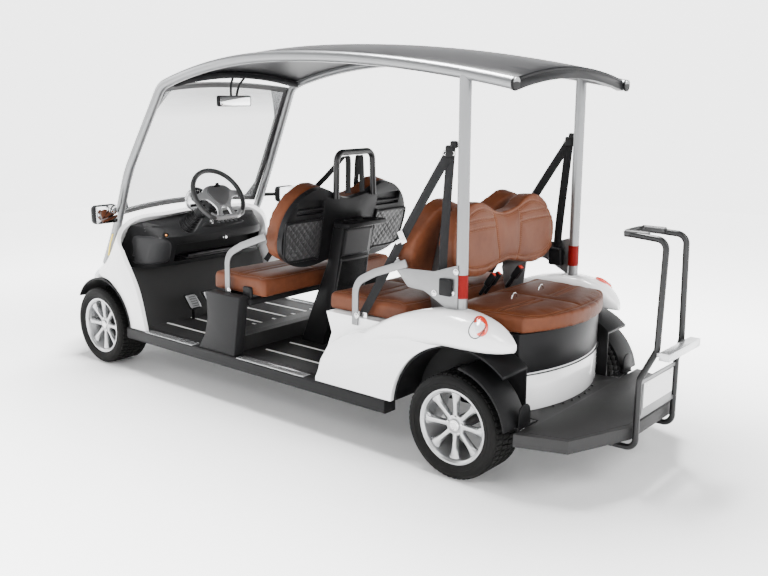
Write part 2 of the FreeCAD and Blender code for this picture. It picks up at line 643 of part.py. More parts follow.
# the cowl's lower edge in side view, as shares of its run from the arch's foot
# to the nose and of its rise from the floor
ARCH_EDGE_SHARES = [
    (0.0, -0.20), (0.004, 0.05), (0.037, 0.39), (0.110, 0.61), (0.184, 0.79), (0.270, 0.90), (0.392, 0.935),
    (0.450, 0.985), (0.572, 1.03), (0.700, 1.0), (1.0, 1.0),
]


def arch_space():
    """The space below the cowl's edge beside and ahead of a front wheel."""
    x0, x1 = val("arch_foot_x"), val("nose_x + overrun")
    z0, z1 = val("floor_z"), val("arch_end_z")
    inner, outer = val("arch_inner_y"), val("front_half_width + overrun")
    points = [Vector(x0 + u * (x1 - x0), inner, z0 + v * (z1 - z0)) for u, v in ARCH_EDGE_SHARES]
    curve = Part.BSplineCurve()
    curve.interpolate(points)
    corner = Vector(x1, inner, points[0].z)
    edges = [curve.toShape(), Part.LineSegment(points[-1], corner).toShape(),
             Part.LineSegment(corner, points[0]).toShape()]
    return Part.Face(Part.Wire(edges)).extrude(Vector(0, outer - inner, 0))


def liner_drum(grow, inner_y, wall="0"):
    """The round space that a front liner fills, set back and up from the axle."""
    radius, outer = val("liner_radius") + grow - val(wall), val("front_half_width")
    place = vec("wheelbase - liner_back", inner_y, "axle_z + liner_up")
    return Part.makeCylinder(radius, outer - inner_y, place, Vector(0, 1, 0))


def bumper_cut():
    """The space below the bonnet's nose that the bumper fills."""
    x = val("wheelbase + front_arch_radius")
    return bar_box(Vector(x, -val("front_half_width"), 0),
                   Vector(val("nose_x + overrun"), val("front_half_width"), val("bumper_top_z + joint_gap")))


def headlamp_shape(grow):
    shape = Part.makeSphere(1)
    m = FreeCAD.Matrix()
    m.scale(val("headlamp_length / 2") + grow, val("headlamp_width / 2") + grow, val("headlamp_height / 2") + grow)
    shape = shape.transformGeometry(m)
    shape.rotate(Vector(), Vector(0, 0, 1), -38)
    shape.translate(vec("headlamp_x", "headlamp_y", "headlamp_z"))
    return shape


def headlamp():
    """An oval lamp let into the bonnet's front corner."""
    return headlamp_shape(0).common(front_shell(-val("joint_gap"), val("floor_z")))


def front_bumper():
    """Black lower bumper, rounded in plan, that closes the nose below the bonnet."""
    back = val("wheelbase + front_arch_radius + joint_gap")
    nose = val("nose_x")
    half, deep = val("bumper_half_width"), val("bumper_depth")
    low, high = val("bumper_low_z"), val("bumper_top_z")

    def outline(inset):
        ends = [Vector(back, half - inset, low), Vector(back, -half + inset, low)]
        arc = Part.Arc(ends[0], Vector(nose - inset, 0, low), ends[1]).toShape()
        return Part.Face(Part.Wire([arc, Part.LineSegment(ends[1], ends[0]).toShape()]))
    outer = outline(0).extrude(Vector(0, 0, high - low))
    inner = outline(deep / 2).extrude(Vector(0, 0, high - low))
    inner.translate(Vector(-deep / 4, 0, -deep / 2))
    lamp = headlamp_shape(val("joint_gap"))
    return largest(without(outer.cut(inner), [lamp, flip_y(lamp)]))


def front_liner(cowl):
    """A half-round liner over a front wheel, closed on its inner side."""
    inner_y, deep = val("liner_inner_y + joint_gap"), val("liner_depth")
    liner = liner_drum(0, inner_y).cut(liner_drum(0, inner_y + deep, "liner_depth"))
    x, far = val("wheelbase"), 2 * val("liner_radius")
    behind = bar_box(Vector(x - far, 0, 0), Vector(x, far * 2, val("floor_z + joint_gap")))
    ahead = bar_box(Vector(x, 0, 0), Vector(x + far, far * 2, val("liner_tip_z")))
    return largest(without(liner, [behind, ahead, cowl]))


def rear_liner(shell):
    """A half-round liner in a rear arch, closed on its inner side."""
    inner_y, deep = val("rear_liner_inner_y + joint_gap"), val("liner_depth")
    outer_y, radius = val("rear_side_y - panel"), val("rear_arch_radius - joint_gap")
    liner = wheel_well(0, radius, inner_y, outer_y).cut(wheel_well(0, radius - deep, inner_y + deep, outer_y + deep))
    far = 2 * radius
    below = bar_box(Vector(-far, 0, 0), Vector(far, far, val("floor_z + joint_gap")))
    behind = bar_box(Vector(-far, 0, 0), Vector(val("wing_tip_x"), far, far))
    return largest(without(liner, [below, behind, shell]))


# Dashboard, steering and pedals

# half width share and how far the face comes back there, as a share
DASH_LOW_SHARE, DASH_LIP_SHARE, DASH_DROP_SHARE = 0.72, 0.75, 0.6
DASH_REACH_SHARES = [(-1.0, 0.0), (-0.72, 0.86), (-0.34, 1.0), (0.0, 1.0), (0.34, 1.0), (0.72, 0.86), (1.0, 0.0)]


def dash_section(y, reach):
    """One section along the vehicle: floor, front, deck, sloping panel and lip."""
    face, low = val("dash_face_x"), val("dash_low_z")
    front, top, lip = val("dash_front_x"), val("dash_top_z"), val("dash_lip_z")
    back, rise = val("dash_reach") * reach, val("dash_crown") * reach
    points = [
        Vector(face - back * DASH_LOW_SHARE, y, low), Vector(front, y, low), Vector(front, y, top + rise),
        Vector(face + val("lip_depth") - back * DASH_LIP_SHARE, y, top - rise * DASH_DROP_SHARE),
        Vector(face - back, y, lip + val("dash_wall")), Vector(face - back, y, lip - val("dash_wall")),
    ]
    return Part.makePolygon(points + points[:1])


def dashboard():
    """Dashboard that swells towards the driver, with an open shelf in its face."""
    half = val("dash_half_width")
    out = lofted([dash_section(y * half, reach) for y, reach in DASH_REACH_SHARES])
    face = val("dash_face_x - dash_reach - overrun")
    shelf = bar_box(Vector(face, val("shelf_right_y"), val("shelf_low_z")),
                    Vector(face + val("overrun + shelf_depth"), val("shelf_left_y"), val("dash_lip_z - lip_depth")))
    return out.cut(shelf)


def steering_frame():
    """Placement of the steering wheel: local Z points at the driver."""
    tilt = 90 - val("column_tilt")
    return Rotation(Vector(0, 1, 0), -tilt)


# the pad's half outline, as shares of its half height and half width
STRUT_SHARES = (0.5, 1.3)
PAD_SHARES = [(-1.0, 0.62), (-0.72, 0.98), (0.10, 1.0), (0.72, 0.60), (1.0, 0.22)]


def steering_wheel():
    """Flat-bottomed rim with a shield pad, two broad spokes and two lower struts."""
    r, thick = val("rim_radius"), val("rim_thickness")
    drop = val("flat_drop")
    spread = math.acos(drop / r)
    # local X points down the wheel, local Y across it
    ends = [Vector(r * math.cos(s * spread), r * math.sin(s * spread), 0) for s in (1, -1)]
    chord = Part.LineSegment(ends[1], ends[0]).toShape()
    section = Part.Wire(Part.Circle(Vector(-r, 0, 0), Vector(0, 1, 0), thick).toShape())
    path = Part.Wire(Part.__sortEdges__([Part.Arc(Vector(-r, 0, 0), Vector(0, -r, 0), ends[1]).toShape(), chord,
                                         Part.Arc(ends[0], Vector(0, r, 0), Vector(-r, 0, 0)).toShape()]))
    hoop = path.makePipeShell([section], True, False, 2)
    deep = val("boss_depth")
    boss = Part.makeCylinder(val("boss_radius"), deep, Vector(0, 0, -deep))
    tall, wide = val("pad_height / 2"), val("pad_width / 2")
    half = [Vector(u * tall, v * wide, 0) for u, v in PAD_SHARES]
    outline = half + [Vector(p.x, -p.y, 0) for p in reversed(half)]
    pad = Part.Face(Part.makePolygon(outline + outline[:1])).extrude(Vector(0, 0, val("pad_depth / 2")))
    flat, wide = val("spoke_thick"), val("spoke_width")
    cross = bar_box(Vector(-wide / 2, -r, -flat), Vector(wide / 2, r, 0))
    pieces = [boss, pad, cross]
    for side in (1, -1):
        inner, outer = sorted((side * wide * STRUT_SHARES[0], side * wide * STRUT_SHARES[1]))
        pieces.append(bar_box(Vector(0, inner, -flat), Vector(drop, outer, 0)))
    out = hoop.fuse(pieces).removeSplitter()
    return node(feature(out, "SteeringWheel"), "steering_wheel", "wheel_x", "wheel_y", "wheel_z", steering_frame())


# the pod's drum, the end of its cone and its dial, as shares of its length and radius
DRUM_SHARE, CONE_SHARE, DIAL_SHARE, DIAL_DEPTH_SHARE = 0.6, 0.55, 0.85, 0.1


def steering_column():
    """Column from the wheel's boss into the dashboard, with boot, shroud and stalk."""
    start, length = val("boss_depth + joint_gap"), val("column_length")
    down = Vector(0, 0, -1)
    tube = Part.makeCylinder(val("column_radius"), length, Vector(0, 0, -start), down)
    shroud = Part.makeCylinder(val("hub_shroud_radius"), val("hub_shroud_length"), Vector(0, 0, -start), down)
    first, last = val("boot_start"), val("boot_end")
    boot = Part.makeCone(val("column_radius"), val("boot_radius"), last - first, Vector(0, 0, -first), down)
    stalk_z = -start - val("hub_shroud_length / 2")
    stalk = rod(Vector(0, 0, stalk_z), Vector(0, val("stalk_length"), stalk_z), val("stalk_radius"))
    return tube.fuse([shroud, boot, stalk]).removeSplitter()


def instrument_pod():
    """Round pod that faces the driver, above the column."""
    deep, radius = val("pod_length"), val("pod_radius")
    drum_deep = deep * DRUM_SHARE
    drum = Part.makeCylinder(radius, drum_deep, Vector(0, 0, -drum_deep))
    cone = Part.makeCone(radius, radius * CONE_SHARE, deep - drum_deep, Vector(0, 0, -drum_deep), Vector(0, 0, -1))
    dial_deep = deep * DIAL_DEPTH_SHARE
    dial = Part.makeCylinder(radius * DIAL_SHARE, dial_deep, Vector(0, 0, -dial_deep))
    out = drum.fuse(cone).cut(dial)
    return put(out, vec("pod_x", "wheel_y", "pod_z"), steering_frame())


def pedal_shape(y):
    """One pedal: a tilted plate on a stem that stands on the floor."""
    wide, high, deep = val("pedal_width"), val("pedal_height"), val("pedal_depth")
    pad = Part.makeBox(deep, wide, high, Vector(-deep / 2, -wide / 2, -high / 2))
    pad.rotate(Vector(), Vector(0, 1, 0), val("pedal_tilt"))
    pad.translate(vec("pedal_x", y, "pedal_z"))
    stem = rod(vec("pedal_x", y, "floor_z"), vec("pedal_x", y, "pedal_z"), val("stem_radius"))
    return pad.fuse(stem).removeSplitter()


def pedals():
    shapes = [pedal_shape("pedal_first_y"), pedal_shape("pedal_second_y")]
    return node(feature(Part.makeCompound(shapes), "Pedals"), "pedals")


# Screen

SCREEN_ROWS = [("glass_low_x", "glass_low_z", "glass_low_y"), ("glass_mid_x", "glass_mid_z", "glass_mid_y"),
               ("glass_top_x", "glass_top_z", "glass_top_y")]


def screen_plate(margin, thick):
    """A bowed plate in the screen's surface, wider than the glass by a margin."""
    rows = [(val(x), val(z), val(y)) for x, z, y in SCREEN_ROWS]
    low, high = Vector(rows[0][0], 0, rows[0][1]), Vector(rows[-1][0], 0, rows[-1][1])
    way = (high - low).normalize()
    out_way = Vector(way.z, 0, -way.x)
    sections = []
    for i, (x, z, y) in enumerate(rows):
        shift = way * (margin * (i - 1))
        half = y + margin
        bow = val("glass_bow")

        def arc(offset):
            base = Vector(x, 0, z) + shift + out_way * offset
            side = Vector(0, half, 0)
            return Part.Arc(base + side, base + out_way * bow, base - side).toShape()
        outer, inner = arc(thick / 2), arc(-thick / 2)
        ends = [Part.LineSegment(outer.Vertexes[i].Point, inner.Vertexes[i].Point).toShape() for i in (0, 1)]
        sections.append(Part.Wire(Part.__sortEdges__([outer, ends[1], inner, ends[0]])))
    return lofted(sections)


def windscreen():
    glass = screen_plate(0, val("glass_depth"))
    gap = val("joint_gap")
    frame = screen_plate(val("seal_width"), val("seal_depth")).cut(screen_plate(gap, val("seal_depth * 2")))
    node(feature(glass, "Glass"), "windscreen_glass")
    return frame


# Roof tubes, roof and mirrors

def rail_arcs():
    """Middle line of the left roof tube: two arcs that meet level at the peak."""
    peak = vec("rail_peak_x", "roof_rail_y", "rail_peak_z")

    def to_end(end):
        run, drop = end.x - peak.x, peak.z - end.z
        radius = (run * run + drop * drop) / (2 * drop)
        half = math.asin(abs(run) / radius) / 2
        side = 1 if run > 0 else -1
        return Vector(peak.x + side * radius * math.sin(half), peak.y, peak.z - radius * (1 - math.cos(half)))
    front = vec("rail_front_x", "roof_rail_y", "rail_front_z")
    rear = vec("rail_rear_x", "roof_rail_y", "rail_rear_z")
    return [Part.Arc(front, to_end(front), peak).toShape(), Part.Arc(peak, to_end(rear), rear).toShape()]


def rail_height_at(x):
    """Height of the roof tube's middle line at a place along the vehicle."""
    peak_x, peak_z = val("rail_peak_x"), val("rail_peak_z")
    end = "rail_front" if x > peak_x else "rail_rear"
    run, drop = val(f"{end}_x") - peak_x, peak_z - val(f"{end}_z")
    radius = (run * run + drop * drop) / (2 * drop)
    return peak_z - radius + math.sqrt(radius * radius - (x - peak_x) ** 2)


def roof_rails():
    tube = piped(Part.Wire(rail_arcs()), val("tube_radius"))
    return both_sides(tube)


def windscreen_pillars():
    """Curved tubes from the cowl's sides to the front of the roof tubes."""
    points = [vec(f"pillar_{at}_x", f"pillar_{at}_y", f"pillar_{at}_z") for at in ("foot", "low", "high", "top")]
    points.append(vec("rail_front_x", "roof_rail_y", "rail_front_z"))
    sweep, bend = val("pillar_sweep"), val("pillar_bend")
    path = rounded_path(points, [sweep, sweep, bend])
    return both_sides(piped(path, val("tube_radius")))


def rear_pillars():
    foot = vec("rear_pillar_x", "rear_pillar_y", "rear_pillar_foot_z")
    top = Vector(foot.x, val("roof_rail_y"), rail_height_at(foot.x))
    tube = rod(foot, top, val("tube_radius"))
    rail = piped(Part.Wire(rail_arcs()), val("tube_radius + joint_gap"))
    return both_sides(tube.cut(rail))


def crown_arc(x, lift, half):
    """An arc across the roof at a place along it."""
    edge = rail_height_at(x) + lift
    return Part.Arc(Vector(x, half, edge), Vector(x, 0, edge + val("roof_crown")), Vector(x, -half, edge)).toShape()


def cross_strip(x, low, high, half):
    upper, lower = crown_arc(x, high, half), crown_arc(x, low, half)
    ends = [Part.LineSegment(upper.Vertexes[i].Point, lower.Vertexes[i].Point).toShape() for i in (0, 1)]
    return Part.Wire(Part.__sortEdges__([upper, ends[1], lower, ends[0]]))


# places of the roof's sections, as shares from its rear edge to its front edge
ROOF_SECTION_SHARES = [0.0, 0.18, 0.36, 0.54, 0.72, 0.88, 1.0]


def roof_panel():
    """Thin arched skin that rests between the roof tubes."""
    low = val("roof_seat")
    sections = []
    for share in ROOF_SECTION_SHARES:
        x = val(between("roof_rear_x", "roof_front_x", share))
        x = min(max(x, val("rail_rear_x") + 1), val("roof_front_x"))
        sections.append(cross_strip(x, low, low + val("roof_depth"), val("roof_half_width")))
    return lofted(sections)


def roof_crossbars():
    """Arched bars under the roof, between the tubes."""
    deep, high = val("bar_depth"), val("bar_height")
    half = val("roof_rail_y - tube_radius - joint_gap")
    top = val("roof_seat - joint_gap")
    bars = []
    for place in ("bar_front_x", "bar_middle_x", "bar_rear_x"):
        x = val(place)
        face = Part.Face(cross_strip(x, top - high, top, half))
        bar = face.extrude(Vector(deep, 0, 0))
        bar.translate(Vector(-deep / 2, 0, 0))
        bars.append(bar)
    return bars


def interior_mirror():
    """Mirror on a bracket with two arms that reach the front bar."""
    x, z = val("inner_mirror_x"), val("inner_mirror_z")
    wide, high, deep = val("inner_mirror_width"), val("inner_mirror_height"), val("inner_mirror_depth")
    out = bar_box(Vector(x - deep / 2, -wide / 2, z - high / 2), Vector(x + deep / 2, wide / 2, z + high / 2))
    bar_x = val("bar_front_x")
    bar_z = rail_height_at(bar_x) + val("roof_crown - bar_height + roof_seat") - val("joint_gap")
    for side in (1, -1):
        y = side * val("bracket_arm_y")
        out = out.fuse(rod(Vector(x, y / 2, z + high / 4), Vector(bar_x, y, bar_z), val("bracket_arm_radius")))
    return out.removeSplitter()


def side_mirrors():
    """Mirror housings on short arms beside the screen pillars."""
    mid = vec("mirror_x", "mirror_y", "mirror_z")
    wide, high, deep = val("mirror_width"), val("mirror_height"), val("mirror_depth")
    low = mid - Vector(deep / 2, wide / 2, high / 2)
    shell = bar_box(low, low + Vector(deep, wide, high))
    shell = shell.makeFillet(deep / 4, [e for e in shell.Edges if abs(e.tangentAt(0).x) > 0.9])
    pillar_y = val("pillar_low_y")
    foot = Vector(val("pillar_low_x - mirror_arm_reach"), pillar_y, mid.z)
    arm = rod(Vector(mid.x + deep / 4, mid.y - wide / 3, mid.z), foot, val("mirror_arm_radius"))
    return shell.fuse(arm).removeSplitter()


# Seats

# the shell's grab recess and its bar, as shares of the shell's depth and the recess's height
RECESS_SHARE, BAR_DEPTH_SHARE, BAR_RADIUS_SHARE, BAR_DROP_SHARE = 0.35, 0.7, 0.22, 0.2
# half width of the hoop's top as a share of that of its foot
HOOP_TOP_SHARE = 0.94
# an armrest's line from its foot back and up, as shares of its reach and rise
ARM_SHARES = [(0.0, 0.0), (0.02, 0.62), (0.40, 0.80), (1.0, 1.0)]
ARM_LOW_BEND_SHARE = 0.6
# half outline of a seat back as shares of its half width and height
BACK_OUTLINE_SHARES = [
    (0.0, 0.835), (0.22, 0.88), (0.50, 1.0), (0.74, 0.93), (0.93, 0.72), (1.0, 0.42), (0.94, 0.16),
    (0.74, 0.02), (0.40, 0.0), (0.18, 0.06),
]


def back_face(half, high, inset):
    """Outline of a seat back in the YZ plane: two humps with a dip between them."""
    points = [Vector(0, u * (half - inset), inset + v * (high - 2 * inset)) for u, v in BACK_OUTLINE_SHARES]
    mirrored_points = [Vector(0, -p.y, p.z) for p in reversed(points[1:])]
    low = Vector(0, 0, inset + 0.09 * (high - 2 * inset))
    return Part.Face(closed_curve(points + [low] + mirrored_points))


def seat_back(x, low_z, half, high, tilt, facing):
    """A padded back that leans away from its seat; facing is 1 to the front."""
    out = back_face(val(half), val(high), 0).extrude(Vector(facing * val("back_depth"), 0, 0))
    return put(out, vec(x, "0", low_z), Rotation(Vector(0, 1, 0), -val(tilt)))


def seat_backs():
    backs = [
        seat_back("front_back_x + shell_depth / 2", "front_back_low_z", "back_half_width", "back_height",
                  "back_tilt", 1),
        seat_back("second_back_x", "second_back_low_z", "back_half_width", "second_back_height", "back_tilt", 1),
        seat_back("rear_back_x", "rear_back_low_z", "rear_back_half_width", "rear_back_height",
                  "rear_back_tilt", -1),
    ]
    return node(feature(Part.makeCompound(backs), "Backs"), "seat_backs")


def cushion(rear_x, front_x, low_z, deep, half):
    """A bench cushion with rounded corners and a soft upper edge."""
    owner = plate("Cushion", "XY_Plane", box_points(rear_x, front_x, f"0 - {half}", half), deep,
                  f"{low_z} + joint_gap + ({deep}) / 2")
    soften(owner, "cushion_round", along(Vector(0, 0, 1)))
    soften(owner, "cushion_round * 0.8", lambda e: e.CenterOfMass.z > val(f"{low_z} + {deep} - 1"))
    return owner


def seat_cushions():
    front = cushion("front_cushion_rear_x", "front_cushion_x", "pedestal_top_z", "cushion_depth",
                    "cushion_half_width")
    second = cushion("second_cushion_rear_x", "second_cushion_x", "second_cushion_low_z",
                     "second_cushion_depth", "second_cushion_half_width")
    tail = Part.Face(rear_seat_plan(0)).extrude(Vector(0, 0, val("rear_cushion_depth")))
    tail.translate(Vector(0, 0, val("rear_cushion_low_z + joint_gap")))
    return node(group([front, second, feature(tail, "RearCushion")]), "seat_cushions")


def front_seat_shell():
    """Hard shell behind the front back, with two grab recesses and two pockets."""
    deep, gap = val("shell_depth"), val("joint_gap")
    inset = val("shell_inset")
    shell = back_face(val("back_half_width"), val("back_height"), inset).extrude(Vector(-deep, 0, 0))
    wide, high = val("grab_width"), val("grab_height")
    for side in (1, -1):
        y, z = side * val("grab_y"), val("grab_above")
        left, right, bar_z = y + wide / 2, y - wide / 2, z - high * BAR_DROP_SHARE
        recess = bar_box(Vector(-2 * deep, right, z - high / 2), Vector(-deep * RECESS_SHARE, left, z + high / 2))
        bar_x = -deep * BAR_DEPTH_SHARE
        bar = rod(Vector(bar_x, right, bar_z), Vector(bar_x, left, bar_z), deep * BAR_RADIUS_SHARE)
        shell = shell.cut(recess).fuse(bar)
    shell.translate(Vector(-gap, 0, 0))
    turn = Rotation(Vector(0, 1, 0), -val("back_tilt"))
    shell = shell.removeSplitter()
    x, z = "front_back_x + shell_depth / 2", "front_back_low_z"
    return put(shell, vec(x, "0", z), turn)


def seat_pedestals():
    """Dark posts at the ends of the front bench, flared at the foot."""
    points = [
        ("pedestal_foot_rear_x", "floor_z"), ("pedestal_foot_front_x", "floor_z"),
        (between("pedestal_foot_front_x", "pedestal_waist_x", 0.7), between("floor_z", "pedestal_waist_z", 0.5)),
        ("pedestal_waist_x", "pedestal_waist_z"), ("pedestal_top_front_x", "pedestal_top_z"),
        ("pedestal_top_rear_x", "pedestal_top_z"),
    ]
    owner = plate("Pedestal", "XZ_Plane", points, "pedestal_outer_y - pedestal_inner_y",
                  "(pedestal_outer_y + pedestal_inner_y) / 2")
    doc.recompute()
    return both_sides(owner.Shape)


def seat_tubes():
    """Cross tubes between the pedestals and the column, and a block for each buckle."""
    radius = val("seat_tube_radius")
    end_y = val("pedestal_inner_y - joint_gap")
    z = val("seat_tube_z")
    shapes = []
    for x in (val("seat_tube_x + seat_tube_radius * 3"), val("seat_front_tube_x")):
        shapes.append(rod(Vector(x, -end_y, z), Vector(x, end_y, z), radius))
    return shapes


def console_column():
    """Column from the floor to the shell, with its tray."""
    behind = "front_back_x - shell_depth / 2"
    points = [
        ("column_low_rear_x", "floor_z"), ("column_low_x", "floor_z"),
        (f"{behind} - column_gap", "front_back_low_z"),
        (f"{behind} - column_gap - (column_top_z - front_back_low_z) * tan(back_tilt)", "column_top_z"),
        ("column_top_x - shell_depth", "column_top_z"),
        (between("column_low_rear_x", "column_top_x - shell_depth", 0.55), between("floor_z", "column_top_z", 0.45)),
    ]
    owner = plate("Console", "XZ_Plane", points, "2 * column_half_width")
    tray = box_points("column_top_x - tray_depth", "column_top_x + shell_depth / 2",
                      "column_top_z - tray_thick", "column_top_z")
    slab(owner, sketch(owner, "XZ_Plane", tray), "2 * tray_half_width")
    return owner


def belt_hoop():
    """Upright hoop that holds the belts above the column."""
    x, half = val("hoop_x"), val("hoop_half_width")
    low, high = val("hoop_foot_z"), val("hoop_top_z")
    top = half * HOOP_TOP_SHARE
    points = [Vector(x, half, low), Vector(x, top, high), Vector(x, -top, high), Vector(x, -half, low)]
    return piped(rounded_path(points, val("hoop_bend")), val("hoop_radius"))


def armrest_shape(foot_x, foot_z, y):
    """A flat bar that rises from its foot and bends back to the seat back."""
    thick, wide = val("arm_thick"), val("arm_width")
    rise, reach = val("arm_rise"), val("arm_reach")
    x, z = val(foot_x), val(foot_z)
    points = [Vector(x - reach * u, 0, z + rise * v) for u, v in ARM_SHARES]
    path = rounded_path(points, [val("arm_bend") * ARM_LOW_BEND_SHARE, val("arm_bend")])
    section = Part.Wire(Part.makePolygon([
        points[0] + Vector(-wide / 2, -thick / 2, 0), points[0] + Vector(wide / 2, -thick / 2, 0),
        points[0] + Vector(wide / 2, thick / 2, 0), points[0] + Vector(-wide / 2, thick / 2, 0),
        points[0] + Vector(-wide / 2, -thick / 2, 0)]))
    bar = path.makePipeShell([section], True, False)
    bar.translate(Vector(0, val(y), 0))
    return bar


def armrests():
    shapes = []
    for foot_x, foot_z, y in (("front_arm_foot_x", "pedestal_top_z + joint_gap", "arm_y"),
                              ("second_arm_foot_x", "seat_base_z - arm_width", "second_arm_y")):
        bar = armrest_shape(foot_x, foot_z, y)
        shapes += [bar, flip_y(bar)]
    return shapes


def rear_seat_plan(inset):
    """Plan of the rear-facing cushion: wide in front, round behind."""
    front, half = val("rear_cushion_front_x"), val("rear_cushion_half_width") - inset
    corner_x, corner_y = val("rear_cushion_corner_x") + inset, val("rear_cushion_corner_y") - inset
    rear = val("rear_cushion_x") + inset
    points = [Vector(front, -half, 0), Vector(front, half, 0)]
    side = Part.Arc(points[1], Vector((front + corner_x) / 2, half - inset, 0), Vector(corner_x, corner_y, 0)).toShape()
    tail = Part.Arc(Vector(corner_x, corner_y, 0), Vector(rear, 0, 0), Vector(corner_x, -corner_y, 0)).toShape()
    other = Part.Arc(Vector(corner_x, -corner_y, 0), Vector((front + corner_x) / 2, inset - half, 0), points[0]).toShape()
    return Part.Wire([Part.LineSegment(points[0], points[1]).toShape(), side, tail, other])


# Rear body, aprons and guards

# x share from the wing's front to its tip; inner y, outer y as shares of the
# side's half width; low z and high z as shares of the seat base's height
WING_SHARES = [
    (0.0, 0.80, 0.94, 0.70, 0.87), (0.28, 0.86, 1.00, 0.90, 1.05), (0.37, 0.86, 1.015, 0.93, 1.11),
    (0.52, 0.76, 1.035, 0.945, 1.175),
    (0.74, 0.725, 1.040, 0.955, 1.205), (0.89, 0.74, 1.000, 0.955, 1.150), (1.0, 0.795, 0.845, 0.965, 1.02),
]
# how boxy a wing's section is, how far its top leans in, and its number of points
WING_POWER_SHARE, WING_LEAN_SHARE, WING_POINTS = 0.72, 0.16, 12


def wing(inset):
    """A wing over a rear wheel: soft-cornered sections from its front to its tip."""
    sections = []
    for x_share, in_share, out_share, low_share, high_share in WING_SHARES:
        x = val(between("wing_front_x", "wing_tip_x", x_share))
        inner, outer = val("rear_side_y") * in_share + inset, val("rear_side_y") * out_share - inset
        low, high = val("seat_base_z") * low_share + inset, val("seat_base_z") * high_share - inset
        points = []
        for i in range(WING_POINTS):
            angle = 2 * math.pi * i / WING_POINTS
            u, v = (math.copysign(abs(w) ** WING_POWER_SHARE, w) for w in (math.cos(angle), math.sin(angle)))
            u -= WING_LEAN_SHARE * v
            points.append(Vector(x, inner + (u + 1) / 2 * (outer - inner), low + (v + 1) / 2 * (high - low)))
        sections.append(closed_curve(points))
    return lofted(sections)


# place along the base, as a share from its foot to its tail, and the height of
# the side's shoulder there, as a share of the seat base's height
SHOULDER_SHARES = [(0.0, 0.50), (0.024, 0.62), (0.09, 0.76), (0.216, 0.865), (0.338, 0.915), (0.60, 0.94), (1.0, 0.945)]


def base_section(x_share, shoulder_share, inset, low):
    """A section across the base: straight sides, a sloping shoulder, a flat top."""
    x = val(between("base_foot_x", "base_tail_x", x_share))
    x += inset if x_share == 1 else -inset if x_share == 0 else 0
    half, inner = val("rear_side_y") - inset, val("base_half_width") - inset
    top, shoulder = val("seat_base_z") - inset, val("seat_base_z") * shoulder_share - inset
    step = min(val("shoulder_step"), (shoulder - val("floor_z")) / 2)
    side = [Vector(x, half, low), Vector(x, half, shoulder - step), Vector(x, half - val("shoulder_in"), shoulder),
            Vector(x, inner, shoulder + val("shoulder_rise")), Vector(x, inner, top)]
    other = [Vector(p.x, -p.y, p.z) for p in reversed(side)]
    return Part.makePolygon(side + other + side[:1])


def base_front():
    """The side view of the base, with its waisted front, as a wide prism."""
    half, tail, top = val("rear_side_y + overrun"), val("base_tail_x - overrun"), val("seat_base_z + overrun")
    foot, waist, waist_z = val("base_foot_x"), val("base_waist_x"), val("base_waist_z")
    points = [Vector(foot, 0, 0), Vector(foot, 0, between_z(0.45)), Vector(waist, 0, waist_z),
              Vector(val("seat_base_x"), 0, val("seat_base_z")), Vector(val("seat_base_x"), 0, top),
              Vector(tail, 0, top), Vector(tail, 0, 0)]
    out = Part.Face(Part.makePolygon(points + points[:1])).extrude(Vector(0, 2 * half, 0))
    out.translate(Vector(0, -half, 0))
    return out


def between_z(share):
    """A height a share of the way from the floor to the base's waist."""
    return val(between("floor_z", "base_waist_z", share))


def rear_body():
    """White rear body: a hollow base for both seats, with a wing over each wheel."""
    wall, low, tail = val("panel"), val("floor_z"), val("base_tail_x")
    outer = lofted([base_section(*row, 0, low) for row in SHOULDER_SHARES], True).common(base_front())
    inner = lofted([base_section(*row, wall, low - wall) for row in SHOULDER_SHARES], True)
    room = base_front()
    room.translate(Vector(-wall, 0, 0))
    shell = outer.cut(inner.common(room))
    well = wheel_well(0, val("rear_arch_radius"), val("rear_liner_inner_y"), val("rear_side_y + overrun"))
    shell = shell.cut(well).cut(flip_y(well))
    left = wing(0)
    shell = shell.fuse([left, flip_y(left)])
    tunnel = val("rail_y + rail_width")
    shell = shell.cut(bar_box(Vector(2 * tail, -tunnel, 0),
                              Vector(val("rear_kick_x"), tunnel, val("kick_low_z + rail_height + running_gap"))))
    return shell.removeSplitter()


def rear_mudguards():
    """A round guard close behind each rear wheel."""
    z, radius, deep = val("axle_z"), val("guard_radius"), val("guard_depth")
    inner_y, outer_y = val("guard_inner_y"), val("wheels_outer_y")
    ring = Part.makeCylinder(radius + deep, outer_y - inner_y, Vector(0, inner_y, z), Vector(0, 1, 0), 360)
    ring = ring.cut(Part.makeCylinder(radius, outer_y - inner_y, Vector(0, inner_y, z), Vector(0, 1, 0)))
    start, end = (math.radians(val(a)) for a in ("guard_start", "guard_end"))
    far = 2 * radius
    wedge = Part.Face(Part.makePolygon([
        Vector(0, inner_y, z), Vector(far * math.cos(start), inner_y, z + far * math.sin(start)),
        Vector(far * math.cos((start + end) / 2), inner_y, z + far * math.sin((start + end) / 2)),
        Vector(far * math.cos(end), inner_y, z + far * math.sin(end)), Vector(0, inner_y, z)]))
    guard = ring.common(wedge.extrude(Vector(0, outer_y - inner_y, 0)))
    tip_z = z + radius * math.sin(end)
    foot = bar_box(Vector(val("platform_side_x + joint_gap"), inner_y, tip_z - deep),
                   Vector(-radius, inner_y + val("guard_foot"), tip_z + deep))
    return guard.fuse(foot).removeSplitter()


